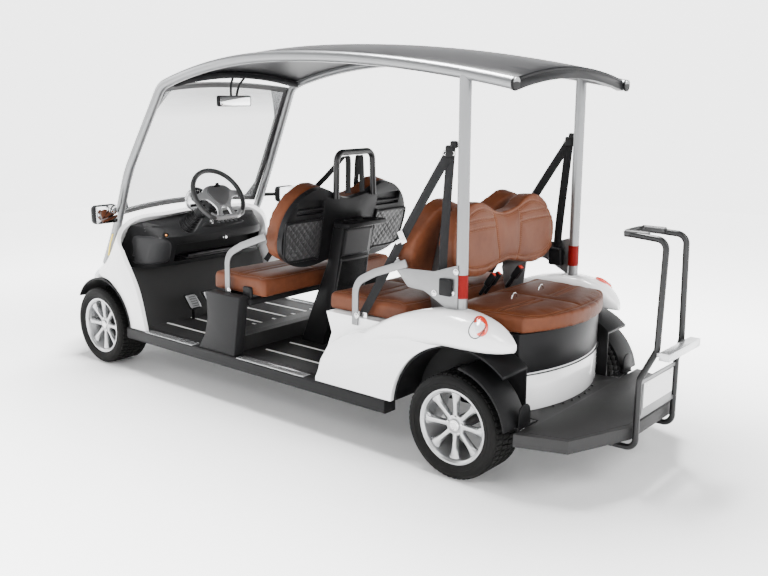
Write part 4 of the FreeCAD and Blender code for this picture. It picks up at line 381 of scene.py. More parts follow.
def turned(profile, steps=48, centre=(0, 0, 0), axis=(0, 0, 1)):
    """A closed solid of revolution from (radius, height) points in millimetres along an axis."""
    axis = Vector(axis).normalized()
    side = axis.orthogonal().normalized()
    other = axis.cross(side)
    bm = bmesh.new()
    rows = []
    for radius, height in profile:
        middle = Vector(centre) + axis * (height / 1000)
        if radius == 0:
            rows.append([bm.verts.new(middle)])
            continue
        rows.append([bm.verts.new(middle + (side * math.cos(t) + other * math.sin(t)) * (radius / 1000))
                     for t in angles(steps)])
    pairs = list(zip(rows, rows[1:]))
    if profile[0][0] and profile[-1][0]:
        pairs.append((rows[-1], rows[0]))
    for low, high in pairs:
        for i in range(steps):
            j = (i + 1) % steps
            ring = [low[i % len(low)], low[j % len(low)], high[j % len(high)], high[i % len(high)]]
            ring = list(dict.fromkeys(ring))
            if len(ring) > 2:
                bm.faces.new(ring)
    return recalculated(bm)


def smooth_line(points, steps=8, closed=False):
    """A Catmull-Rom line through the points."""
    pts = [Vector(p) for p in points]
    count = len(pts)
    line = []
    for i in range(count if closed else count - 1):
        a, b = pts[i], pts[(i + 1) % count]
        before = pts[i - 1] if (i > 0 or closed) else a * 2 - b
        after = pts[(i + 2) % count] if (i + 2 < count or closed) else b * 2 - a
        for k in range(steps):
            t = k / steps
            line.append(0.5 * ((2 * a) + (b - before) * t + (2 * before - 5 * a + 4 * b - after) * t * t
                               + (3 * a - before - 3 * b + after) * t ** 3))
    return line if closed else line + [pts[-1]]


def placed_line(points, steps=8, closed=False):
    """A smooth line through places given in millimetres."""
    return smooth_line([at(*p) for p in points], steps, closed)


def flat_line(points, steps=8, closed=False):
    """A smooth line through (u, v) points of a plane, as such points."""
    return [(p.x, p.y) for p in smooth_line([(u, v, 0) for u, v in points], steps, closed)]


def symmetric(half):
    """A closed outline from the half on one side, whose first and last points lie on the middle line."""
    return half + [(u, -v) for u, v in reversed(half[1:-1])]


def swept(line, section, up=(0, 0, 1), closed=False):
    """A section of (across, up) millimetres carried along a line, kept upright to a vector or a list of them."""
    rings = []
    count = len(line)
    for i, place in enumerate(line):
        ahead = line[(i + 1) % count] if (closed or i + 1 < count) else place
        behind = line[i - 1] if (closed or i > 0) else place
        way = (ahead - behind).normalized()
        lift = Vector(up[i] if isinstance(up, list) else up)
        across = way.cross(lift).normalized()
        lift = across.cross(way).normalized()
        rings.append([place + across * (u / 1000) + lift * (v / 1000) for u, v in section])
    return lofted(rings, closed)


def round_section(radius, steps=12, squash=1.0):
    return [(radius * math.cos(t), radius * squash * math.sin(t)) for t in angles(steps)]


def flat_section(width, thick):
    """A strap's section with slightly rounded edges."""
    w, t = width / 2, thick / 2
    return [(-w, -t * 0.4), (-w + t, -t), (w - t, -t), (w, -t * 0.4), (w, t * 0.4), (w - t, t), (-w + t, t),
            (-w, t * 0.4)]


def block(centre, size, round_by=3.0, steps=2, turn=None):
    """A small moulded block with rounded edges, its size in millimetres."""
    bm = bmesh.new()
    bmesh.ops.create_cube(bm, size=1.0)
    bmesh.ops.scale(bm, vec=Vector(size) / 1000, verts=bm.verts)
    bmesh.ops.bevel(bm, geom=bm.edges[:], offset=round_by / 1000, segments=steps, profile=0.5, affect="EDGES")
    turn = (turn or Matrix.Identity(3)).to_4x4()
    return moved(recalculated(bm), Matrix.Translation(centre) @ turn)


def plan_block(outline, low, high, round_by=3.0):
    """A closed outline in millimetres raised from low to high with rounded upper and lower edges."""
    middle = sum((Vector((*p, 0)) for p in outline), Vector()) / len(outline)
    rings = []
    for inset, z in ((round_by, low), (0.3 * round_by, low + 0.3 * round_by), (0, low + round_by),
                     (0, high - round_by), (0.3 * round_by, high - 0.3 * round_by), (round_by, high)):
        ring = []
        for p in outline:
            off = Vector((*p, 0)) - middle
            reach = off.length
            ring.append((middle + off * max(0.0, (reach - inset)) / reach + Vector((0, 0, z))) / 1000)
        rings.append(ring)
    return lofted(rings)


def basis(x, y, z, centre):
    """The matrix that carries local axes to three directions at a centre."""
    matrix = Matrix((Vector(x).normalized(), Vector(y).normalized(), Vector(z).normalized())).transposed().to_4x4()
    matrix.translation = centre
    return matrix


def cad_mesh(node, wanted=None):
    """A merged bmesh of a construction node, or of those of its solids whose centre passes a test."""
    bm = bmesh.new()
    bm.from_mesh(frame["nodes"][node].data)
    bmesh.ops.remove_doubles(bm, verts=bm.verts, dist=MERGE)
    if wanted:
        left = set(bm.verts)
        drop = []
        while left:
            heap = [left.pop()]
            island = list(heap)
            while heap:
                for edge in heap.pop().link_edges:
                    for vert in edge.verts:
                        if vert in left:
                            left.remove(vert)
                            heap.append(vert)
                            island.append(vert)
            if not wanted(sum((v.co for v in island), Vector()) / len(island)):
                drop += island
        bmesh.ops.delete(bm, geom=drop, context="VERTS")
    return bm


def eased(name, node, look, width):
    """A construction piece with its hard edges rounded as the real moulding or casting has them."""
    bm = cad_mesh(node)
    bmesh.ops.dissolve_limit(bm, angle_limit=math.radians(0.6), verts=bm.verts, edges=bm.edges)
    obj = object_of(mesh_of(bm), name)
    bevel = obj.modifiers.new("edge", "BEVEL")
    bevel.width, bevel.segments, bevel.limit_method = width / 1000, 2, "ANGLE"
    bevel.angle_limit = math.radians(32.0)
    return piece(name, evaluated(obj), look, 40.0, (node,))


def surface_of(mesh):
    """A tree for casting rays at a mesh, or at a construction node given by its name."""
    bm = bmesh.new()
    bm.from_mesh(frame["nodes"][mesh].data if isinstance(mesh, str) else mesh)
    tree = BVHTree.FromBMesh(bm)
    bm.free()
    return tree


def thrown(surface, points, way):
    """Where points thrown along a direction meet a surface, without those that miss."""
    hits = (surface.ray_cast(p, way)[0] for p in points)
    return [hit for hit in hits if hit is not None]


def skinned(surface, outline, way, lift, rings=10, shape=None, skirt=2.0):
    """A panel laid on a surface: its closed outline is thrown along a direction and raised by lift mm.

    shape gives the height from 0 to 1 at a point; the outer tenth is rounded off, and a skirt reaches in.
    """
    way = Vector(way).normalized()
    middle = sum((Vector(p) for p in outline), Vector()) / len(outline)
    rows = []
    for k in range(rings + 1):
        share = k / rings
        edge = math.sqrt(max(0.0, 1 - max(0.0, (share - 0.9) / 0.1) ** 2))
        ring = []
        for p in outline:
            start = middle.lerp(Vector(p), share)
            hit, normal, _, _ = surface.ray_cast(start - way * 0.4, way)
            if hit is None:
                hit, normal, _, _ = surface.find_nearest(start)
            if normal.dot(way) > 0:
                normal = -normal
            ring.append(hit + normal * (lift * edge * (shape(hit) if shape else 1.0) / 1000))
        rows.append(ring)
    rows.append([p + way * (skirt / 1000) for p in rows[-1]])
    bm = bmesh.new()
    centre = bm.verts.new(rows[0][0])
    made = [[bm.verts.new(p) for p in row] for row in rows[1:]]
    count = len(outline)
    for i in range(count):
        bm.faces.new((centre, made[0][i], made[0][(i + 1) % count]))
    for low, high in zip(made, made[1:]):
        for i in range(count):
            j = (i + 1) % count
            bm.faces.new((low[i], high[i], high[j], low[j]))
    bm.faces.new(list(reversed(made[-1])))
    return recalculated(bm)


# Geometry trees

def repeat_tree(kind):
    """A tree that repeats a piece: round its Y axis, along a line or in rows."""
    tree = bpy.data.node_groups.new(f"{kind} rows", "GeometryNodeTree")
    sockets = [("Geometry", "NodeSocketGeometry"), ("Piece", "NodeSocketObject"), ("Material", "NodeSocketMaterial")]
    sockets += {"round": [("Count", "NodeSocketInt")], "along": [("Spacing", "NodeSocketFloat")],
                "rows": [("Count", "NodeSocketInt"), ("Pitch", "NodeSocketVector")]}[kind]
    for label, socket in sockets:
        tree.interface.new_socket(label, in_out="INPUT", socket_type=socket)
    tree.interface.new_socket("Geometry", in_out="OUTPUT", socket_type="NodeSocketGeometry")
    build = Tree(tree)
    given = build.add("NodeGroupInput").outputs
    shape = build.add("GeometryNodeObjectInfo", {"Object": given["Piece"]}, transform_space="ORIGINAL")
    inputs = {"Instance": shape.outputs["Geometry"]}
    if kind == "along":
        curve = build.add("GeometryNodeMeshToCurve", {"Mesh": given["Geometry"]}).outputs[0]
        places = build.add("GeometryNodeResampleCurve", {"Curve": curve, "Length": given["Spacing"]}, mode="LENGTH")
        tangent = build.add("GeometryNodeInputTangent").outputs[0]
        inputs["Rotation"] = build.add("FunctionNodeAlignRotationToVector", {"Vector": tangent}, axis="X").outputs[0]
    else:
        places = build.add("GeometryNodePoints", {"Count": given["Count"]})
        number = build.add("GeometryNodeInputIndex").outputs[0]
        if kind == "round":
            angle = build.maths("MULTIPLY", build.maths("DIVIDE", 2 * math.pi, given["Count"]), number)
            inputs["Rotation"] = build.add("ShaderNodeCombineXYZ", {"Y": angle}).outputs[0]
        else:
            place = build.add("ShaderNodeVectorMath", {0: given["Pitch"], "Scale": number}, operation="SCALE")
            tree.links.new(place.outputs[0], places.inputs["Position"])
    inputs["Points"] = places.outputs[0]
    many = build.add("GeometryNodeInstanceOnPoints", inputs).outputs[0]
    real = build.add("GeometryNodeRealizeInstances", {"Geometry": many}).outputs[0]
    real = build.add("GeometryNodeSetMaterial", {"Geometry": real, "Material": given["Material"]}).outputs[0]
    build.add("NodeGroupOutput", {"Geometry": real})
    return tree


def repeated(kind, shape, look, base=None, **values):
    """The plain mesh of a shape repeated by one of the geometry trees."""
    carrier = object_of(base or bpy.data.meshes.new("places"), "places")
    sample = object_of(shape, "sample")
    mod = carrier.modifiers.new("repeat", "NODES")
    mod.node_group = MADE[kind]
    keys = {item.name: item.identifier for item in mod.node_group.interface.items_tree if item.in_out == "INPUT"}
    for key, value in {"Piece": sample, "Material": finish(look), **values}.items():
        mod[keys[key]] = value
    mesh = evaluated(carrier)
    bpy.data.objects.remove(sample)
    return mesh


def line_mesh(lines):
    bm = bmesh.new()
    for line in lines:
        verts = [bm.verts.new(p) for p in line]
        for a, b in zip(verts, verts[1:]):
            bm.edges.new((a, b))
    return mesh_of(bm)


# Settings

def length(name, description, default):
    """A length setting in metres."""
    return bpy.props.FloatProperty(name=name, description=description, default=default, subtype="DISTANCE",
                                   unit="LENGTH")


class CartSizes(bpy.types.PropertyGroup):
    """Sizes that a user would change."""
    tread_blocks: bpy.props.IntProperty(name="Tread blocks", description="Blocks in one row round a tyre", default=56,
                                        subtype="UNSIGNED")
    seam_depth: length("Seam depth", "Depth of a sewn channel", 0.0045)
    stitch_pitch: length("Stitch pitch", "Distance between stitches", 0.009)
    swell: length("Swell", "Most that the padding may move outwards", 0.010)
    belt_width: length("Belt width", "Width of the webbing", 0.044)


class CartStage(bpy.types.PropertyGroup):
    """The studio that the cart stands in."""
    floor_colour: bpy.props.FloatVectorProperty(name="Floor", description="Colour of the floor", size=3,
                                                default=(0.92, 0.92, 0.92), subtype="COLOR")
    light_power: bpy.props.FloatProperty(name="Light", description="Power of the large overhead light in watts",
                                         default=1050.0, unit="POWER")


# Stage and construction

CAMERA_PLACE = (-2050.7, 3448.6, 1590.5)
CAMERA_WAY = (0.6308, -0.7463, -0.2127)
# the studio's flat floor, the bend up to its wall, the wall's top and the thickness
FLOOR_REACH, FLOOR_BEND, WALL_TOP, FLOOR_THICK = 9000, 4500, 8000, 8
# the glow's stretch along the axes, where it starts and is full, and between which heights it fades, in metres
GLOW_SHAPE, GLOW_REACH, GLOW_FADE = (0.72, 1.25, 1.0), (1.35, 3.4), (3.2, 5.4)
# name, place and target in metres, width and height, power in watts or None for the user's setting
LIGHTS = [
    ("overhead", (0.2, -0.2, 4.6), (0, 0, 0.4), (2.6, 1.6), None),
    ("left softbox", (-1.6, 4.8, 4.3), (0, 0, 0.6), (3.4, 1.6), 100.0),
    ("front softbox", (5.6, 2.4, 3.4), (0, 0, 0.7), (3.0, 2.4), 120.0),
    ("rear softbox", (-5.2, 0.6, 4.2), (-1.0, 0, 0.7), (1.8, 2.6), 240.0),
]


def aimed(name, data, place, way):
    """A camera or a light at a place, looking along a direction."""
    obj = object_of(data, name)
    obj.location = place
    obj.rotation_mode = "QUATERNION"
    obj.rotation_quaternion = Vector(way).to_track_quat("-Z", "Y")
    return obj


def floor_finish(colour):
    """The studio floor, which glows from some way off the cart outwards and fades up the wall."""
    mat, build = new_material("studio floor")
    place = build.place()
    wide = build.add("ShaderNodeVectorMath", {0: place, 1: GLOW_SHAPE}, operation="MULTIPLY").outputs[0]
    reach = build.add("ShaderNodeVectorMath", {0: wide}, operation="LENGTH").outputs["Value"]
    height = build.add("ShaderNodeSeparateXYZ", {0: place}).outputs["Z"]
    glow = build.maths("MULTIPLY", build.ranged(reach, *GLOW_REACH, 0.0, 1.0, "SMOOTHSTEP"),
                       build.ranged(height, *GLOW_FADE, 1.0, 0.08, "SMOOTHSTEP"))
    tint = build.blend((colour, tuple(c * 0.985 for c in colour)), build.noise(place, 1.5))
    return shaded(mat, build, {"Base Color": tint, "Roughness": 0.85, "Specular IOR Level": 0.1,
                               "Emission Color": glow, "Emission Strength": 2.8})


class CART_OT_stage(bpy.types.Operator):
    """Makes the camera, the pale studio floor and the soft lights"""
    bl_idname = "cart.stage"
    bl_label = "Stage and camera"

    def execute(self, context):
        scene = context.scene
        data = bpy.data.cameras.new("camera")
        data.lens, data.sensor_width = 41.6, 36.0
        data.clip_start, data.clip_end = 0.1, 100.0
        scene.camera = aimed("camera", data, at(*CAMERA_PLACE), CAMERA_WAY)
        wall, back = FLOOR_REACH + FLOOR_BEND, FLOOR_REACH + FLOOR_BEND + FLOOR_THICK
        bend = [(FLOOR_REACH + FLOOR_BEND * math.sin(t), FLOOR_BEND * (1 - math.cos(t)))
                for t in (math.pi / 2 * i / 12 for i in range(13))]
        profile = [(0, 0)] + bend + [(wall, WALL_TOP), (back, WALL_TOP), (back, FLOOR_BEND),
                                     (FLOOR_REACH, -FLOOR_THICK), (0, -FLOOR_THICK)]
        floor = object_of(turned(profile, 96, (0, 0, -0.0005)), "floor")
        floor.data.materials.append(floor_finish(tuple(scene.cart_stage.floor_colour)))
        floor.data.shade_smooth()
        world = bpy.data.worlds.new("studio")
        world.use_nodes = True
        inputs = world.node_tree.nodes["Background"].inputs
        inputs["Color"].default_value, inputs["Strength"].default_value = (1.0, 1.0, 1.0, 1.0), 0.05
        scene.world = world
        for name, place, target, size, power in LIGHTS:
            data = bpy.data.lights.new(name, "AREA")
            data.shape, data.size, data.size_y = "RECTANGLE", *size
            data.energy = power or scene.cart_stage.light_power
            aimed(name, data, place, Vector(target) - Vector(place))
        return {"FINISHED"}


# construction nodes that keep their shape, with their finish
KEPT = {
    "windscreen_glass": "screen glass", "lamps": "lamp lens",
    "chassis_frame": "frame enamel", "axles": "frame enamel", "leaf_springs": "frame enamel",
    "battery_pack": "battery case", "knuckle_left": "frame enamel", "knuckle_right": "frame enamel",
    "floor_pan": "floor rubber", "roof_tubes": "silver tube", "rear_pillars": "silver tube",
    "belt_hoop": "black enamel", "grab_bar": "black enamel",
}
# name of the piece, node, finish, edge width in mm
EASED = [
    ("front_body_dress", "front_body", "white paint", 7.0),
    ("rear_body_dress", "rear_body", "white paint", 4.0),
    ("dashboard_dress", "dashboard", "dash moulding", 9.0),
    ("bumper_dress", "front_bumper", "fender moulding", 12.0),
    ("liner_dress", "arch_liners", "fender moulding", 3.0),
    ("sill_dress", "side_sills", "sill moulding", 4.0),
    ("seal_dress", "windscreen_frame", "seal rubber", 4.0),
    ("crossbar_dress", "roof_crossbars", "roof gloss", 4.0),
    ("roof_dress", "roof_panel", "roof gloss", 5.0),
    ("front_seat_frame_dress", "front_seat_frame", "sill moulding", 5.0),
    ("seat_shell_dress", "front_seat_shell", "satin shell", 7.0),
    ("armrest_dress", "armrests", "brushed aluminium", 2.5),
    ("apron_dress", "rear_apron", "satin shell", 4.0),
    ("valance_dress", "rear_valance", "white paint", 4.0),
    ("bracket_dress", "back_brackets", "brushed aluminium", 1.5),
    ("platform_dress", "rear_platform", "deck rubber", 5.0),
    ("console_dress", "console_column", "satin shell", 7.0),
    ("pedal_dress", "pedals", "fender moulding", 3.0),
    ("plate_holder_dress", "rear_plate", "brushed aluminium", 1.2),
]


class CART_OT_construction(bpy.types.Operator):
    """Gives every construction node its finish, and rounds the edges of the mouldings and castings"""
    bl_idname = "cart.construction"
    bl_label = "Construction and mouldings"

    def execute(self, context):
        MADE["screen glass"], MADE["lamp lens"] = glass_finish(), lamp_finish()
        for node, look in KEPT.items():
            frame["nodes"][node].material_slots[0].material = finish(look)
        for name, node, look, width in EASED:
            eased(name, node, look, width)
        return {"FINISHED"}


# Wheels, whose axles lie along Y; sections are (radius, width) in millimetres

WHEELS = [(f"{end}_{side}", sign) for end in ("front", "rear") for side, sign in (("left", 1), ("right", -1))]
# half of the tyre from its bead to the middle of the tread's floor
TYRE_SECTION = [(166, 82), (168, 90), (173, 93.5), (176, 95.5), (178, 95.5), (180, 97), (190, 100.5), (200, 102.2),
                (204, 102.3), (205.5, 101.2), (207, 102.0), (214, 99.5), (220, 95), (223.4, 90), (225.0, 84),
                (225.3, 60), (225.3, 44), (223.4, 43), (223.4, 0)]
# one tread block from above, chamfered and a little skewed
TREAD_BLOCK = [(-9, -19), (-11, -15), (-8.5, 17), (-6.5, 19), (9, 19), (11, 15), (8.5, -17), (6.5, -19)]
# each row's place across the tyre, and its turn as a share of one block
TREAD_ROWS = [(-67, 0.0), (-23, 0.5), (23, 0.0), (67, 0.5)]
RIM_SECTION = [(165, 89), (165, 86), (161, 84), (154, 82), (151.4, 80), (151.4, 46), (138, 28), (138, -44),
               (151.4, -56), (151.4, -80), (154, -82), (165, -85), (165, -89), (156, -89), (148, -84), (144, -58),
               (131, -46), (131, 26), (143, 46), (146, 74), (149, 82), (152, 84), (157, 88.5)]
# along a spoke: its radius, half widths on top and at its base, heights of its base and top
SPOKE_ROWS = [(26, 9, 13, 46, 62), (44, 8.5, 12.5, 46, 63), (70, 7.5, 12, 47, 65.5), (100, 8, 13.5, 48, 68),
              (126, 10, 18, 49, 70.5), (140, 13, 25, 50, 72), (149, 17, 33, 52, 73)]


def rim_face():
    """A cast wheel with a stepped lip and eight ridged spokes, on its own axle."""
    rings = []
    for r, top, base, low, high in SPOKE_ROWS:
        ring = [(-base, low), (-base, high - 9), (-top, high - 1), (-top * 0.5, high), (top * 0.5, high),
                (top, high - 1), (base, high - 9), (base, low)]
        rings.append([Vector((x, y, r)) / 1000 for x, y in ring])
    spokes = repeated("round", lofted(rings), "wheel silver", Count=8)
    boss = turned([(0, 64), (26, 64), (29, 66), (31, 64), (44, 61), (47, 56), (47, 46), (0, 46)], 64, axis=LEFT)
    return joined([spokes, turned(RIM_SECTION, 96, axis=LEFT), boss])


def wheel_trim():
    """Five nuts and the hub's cap."""
    nut = turned([(0, -12), (6.4, -12), (6.4, -4), (4.6, -1.5), (0, -1.5)], 6, (0, 0, 0.0375), LEFT)
    cap = turned([(0, -6), (24, -6), (25, -3), (23.5, 0), (16, 2), (15, 1.2), (0, 1.6)], 40, axis=LEFT)
    return joined([repeated("round", nut, "bright steel", Count=5), cap])


class CART_OT_wheels(bpy.types.Operator):
    """Makes the grooved tyres, the rims, their nuts and caps"""
    bl_idname = "cart.wheels"
    bl_label = "Wheels and tyres"

    def execute(self, context):
        count = context.scene.cart_sizes.tread_blocks
        profile = TYRE_SECTION + [(r, -w) for r, w in reversed(TYRE_SECTION[:-1])]
        for label, side in WHEELS:
            hub = Vector(JOINTS[f"{label}_spin"]["pos_m"])
            body = f"wheel_{label}"
            parts = [turned(profile, 96, hub, LEFT)]
            for offset, share in TREAD_ROWS:
                tread = plan_block(TREAD_BLOCK, 223.5, 228.9, 1.0)
                if offset < 0:
                    tread = moved(tread, Matrix.Rotation(math.pi, 4, "Z"))
                ring = repeated("round", tread, "tyre rubber", Count=count)
                spin = Matrix.Rotation(share * 2 * math.pi / count, 4, "Y")
                parts.append(moved(ring, Matrix.Translation(hub + Vector((0, offset / 1000, 0))) @ spin))
            rib = [hub + Vector((math.cos(t) * 0.188, side * 0.1003, math.sin(t) * 0.188)) for t in angles(24)]
            parts.append(swept(smooth_line(rib, 3, True), round_section(1.4, 6), LEFT, True))
            piece(f"tyre_{label}_dress", joined(parts), "tyre rubber", 30.0, (f"tyre_{label}",), body)
            turn = Matrix.Diagonal((1, side, 1, 1))
            piece(f"rim_{label}_dress", moved(rim_face(), Matrix.Translation(hub) @ turn), "wheel silver", 32.0,
                  (f"rim_{label}",), body)
            face = hub + Vector((0, side * 0.069, 0))
            piece(f"wheel_trim_{label}", moved(wheel_trim(), Matrix.Translation(face) @ turn), "bright steel", 30.0,
                  body=body)
        return {"FINISHED"}


# Steering and dash

POD_PLACE = (2030, 255, 1022)
# the steering wheel's radius and the distance of its flat side, in metres
RIM_RADIUS, RIM_FLAT = 0.161, 0.134
# halves of the steering wheel's spokes and pad, in its own axes
SPOKES_HALF = [(-60, 0), (-62, 30), (-56, 66), (-44, 84), (-26, 104), (-20, 146), (6, 149), (10, 108), (18, 88),
               (42, 66), (70, 50), (100, 52), (128, 62), (130, 34), (100, 30), (76, 22), (66, 0)]
PAD_HALF = [(-50, 0), (-55, 30), (-48, 62), (-24, 76), (4, 68), (34, 46), (58, 18), (60, 0)]
# the compartment's door from behind, as (y, z)
DOOR = [(474, 622), (476, 700), (474, 778), (440, 786), (390, 780), (346, 762), (322, 730), (318, 690), (318, 650),
        (330, 626), (390, 618)]


def steering_frame():
    """Local axes of the steering wheel: down, across, towards the driver."""
    joint = JOINTS["steering_wheel_turn"]
    up = Vector(joint["axis"]).normalized()
    if up.z < 0:
        up = -up
    across = Vector((0, -1, 0))
    return basis(across.cross(up), across, up, Vector(joint["pos_m"]))


def wheel_line():
    """The flat-bottomed rim's centre line in the wheel's own axes, as its arc and its chord."""
    spread = math.acos(RIM_FLAT / RIM_RADIUS)
    turns = [spread + (2 * math.pi - 2 * spread) * i / 71 for i in range(72)]
    arc = [Vector((RIM_RADIUS * math.cos(t), RIM_RADIUS * math.sin(t), 0)) for t in turns]
    return arc[2:-2], [Vector((RIM_FLAT, y / 1000, 0)) for y in (-62, -40, -20, 0, 20, 40, 62)]


class CART_OT_steering(bpy.types.Operator):
    """Makes the steering wheel, its column with boot and stalks, and the instrument pod"""
    bl_idname = "cart.steering"
    bl_label = "Steering"

    def execute(self, context):
        place = steering_frame()
        arc, chord = wheel_line()
        line = smooth_line(arc + chord, 3, True)
        seam = [p * (1 - 0.0105 / p.length) + Vector((0, 0, 0.009)) for p in line]
        ends = [Vector((x, y, 0)) for x, y in ((0.108, -0.106), (0.128, -0.080), (0.128, 0.080), (0.108, 0.106))]
        low = swept(smooth_line(ends[:2] + chord + ends[2:], 5), round_section(14.8, 14, 0.92))
        boss = turned([(0, -54), (30, -54), (34, -48), (36, -6), (40, -1), (0, -1)], 40)
        pad = plan_block(flat_line(symmetric(PAD_HALF), 6, True), 4, 19, 5.0)
        clip = [block((-0.052, 0, 0.020), (14, 40, 10), 4.0), block((-0.060, 0, 0.029), (12, 20, 14), 4.0)]
        rim = [swept(line, round_section(14, 14, 0.92), closed=True), swept(seam, round_section(1.0, 6), closed=True)]
        for name, parts, look, smooth, stands_for in (
                ("steering_rim", rim, "grip leather", 40.0, ("steering_wheel",)),
                ("steering_spokes", [self.spokes(), low], "wheel trim silver", 35.0, ()),
                ("steering_pad", [pad, boss], "pad grey", 35.0, ()),
                ("steering_clip", clip, "satin shell", 35.0, ())):
            piece(name, moved(joined(parts), place), look, smooth, stands_for, "steering_wheel")
        self.column(place)
        self.pod(place)
        return {"FINISHED"}

    def spokes(self):
        """The three flat spokes, bowed a little, from a filled curve."""
        curve = bpy.data.curves.new("spokes", "CURVE")
        curve.dimensions, curve.fill_mode = "2D", "BOTH"
        curve.extrude, curve.bevel_depth, curve.bevel_resolution = 0.0035, 0.003, 3
        spline = curve.splines.new("POLY")
        outline = flat_line([(u / 1000, v / 1000) for u, v in symmetric(SPOKES_HALF)], 4, True)
        spline.points.add(len(outline) - 1)
        for point, p in zip(spline.points, outline):
            point.co = (*p, 0, 1)
        spline.use_cyclic_u = True
        bm = bmesh.new()
        bm.from_mesh(evaluated(object_of(curve, "spokes")))
        bmesh.ops.remove_doubles(bm, verts=bm.verts, dist=1e-5)
        for vert in bm.verts:
            vert.co.z += 0.004 - 0.6 * vert.co.y ** 2
        return recalculated(bm)

    def column(self, place):
        """The shroud, its bellows, the two stalks and the lock's housing."""
        bellows = [(0, -350), (54, -350), (57, -344)]
        for i in range(6):
            z = -336 + i * 22
            bellows += [(48 - 4.2 * i, z), (54 - 4.6 * i, z + 11)]
        bellows += [(27, -204), (25, -198), (0, -198)]
        parts = [turned([(0, -200), (38, -200), (40, -194), (40, -70), (36, -58), (0, -58)], 40), turned(bellows)]
        for side in SIDES:
            stem = [(0.004, side * 0.038, -0.100), (0.004, side * 0.075, -0.096), (0.002, side * 0.112, -0.086)]
            parts.append(swept(smooth_line(stem, 5), round_section(5.5, 10)))
            parts.append(block((0.002, side * 0.124, -0.084), (16, 38, 11), 4.5))
        parts.append(block((0.022, 0, -0.122), (44, 62, 92), 12.0, 4))
        piece("steering_column_dress", moved(joined(parts), place), "satin shell", stands_for=("steering_column",))

    def pod(self, place):
        """The round instrument with its ticks and needle."""
        turn = place.copy()
        turn.translation = at(*POD_PLACE)
        drum = [(0, -96), (30, -96), (40, -92), (60, -62), (66, -48), (67, -30), (66, -8), (63, -2), (58, 0),
                (57, -4), (57, -12), (0, -12)]
        piece("pod_drum", moved(turned(drum, 64), turn), "wheel trim silver", 40.0)
        face = turned([(0, -12), (56.5, -12), (56.5, -7), (51, -5.5), (50, -9), (0, -9)], 64)
        piece("pod_face", moved(face, turn), "dash moulding", 40.0)
        ticks = repeated("round", block((0, 0, 0.0435), (1.4, 1.2, 6), 0.3, 1), "inlay white", Count=24)
        bm = bmesh.new()
        bm.from_mesh(moved(ticks, Matrix.Rotation(math.pi / 2, 4, "X")))
        low = [v for v in bm.verts if v.co.x > abs(v.co.y) * 1.2]
        bmesh.ops.delete(bm, geom=low, context="VERTS")
        needle = block((-0.014, 0.010, 0.0022), (38, 2.2, 1.6), 0.6, 1, Matrix.Rotation(-0.6, 3, "Z"))
        needle = joined([needle, turned([(0, 0), (6, 0), (6, 3), (5, 4), (0, 4)], 20)])
        marks = moved(joined([mesh_of(bm), needle]), turn @ Matrix.Translation((0, 0, -0.0085)))
        piece("pod_marks", marks, "inlay white", 40.0)


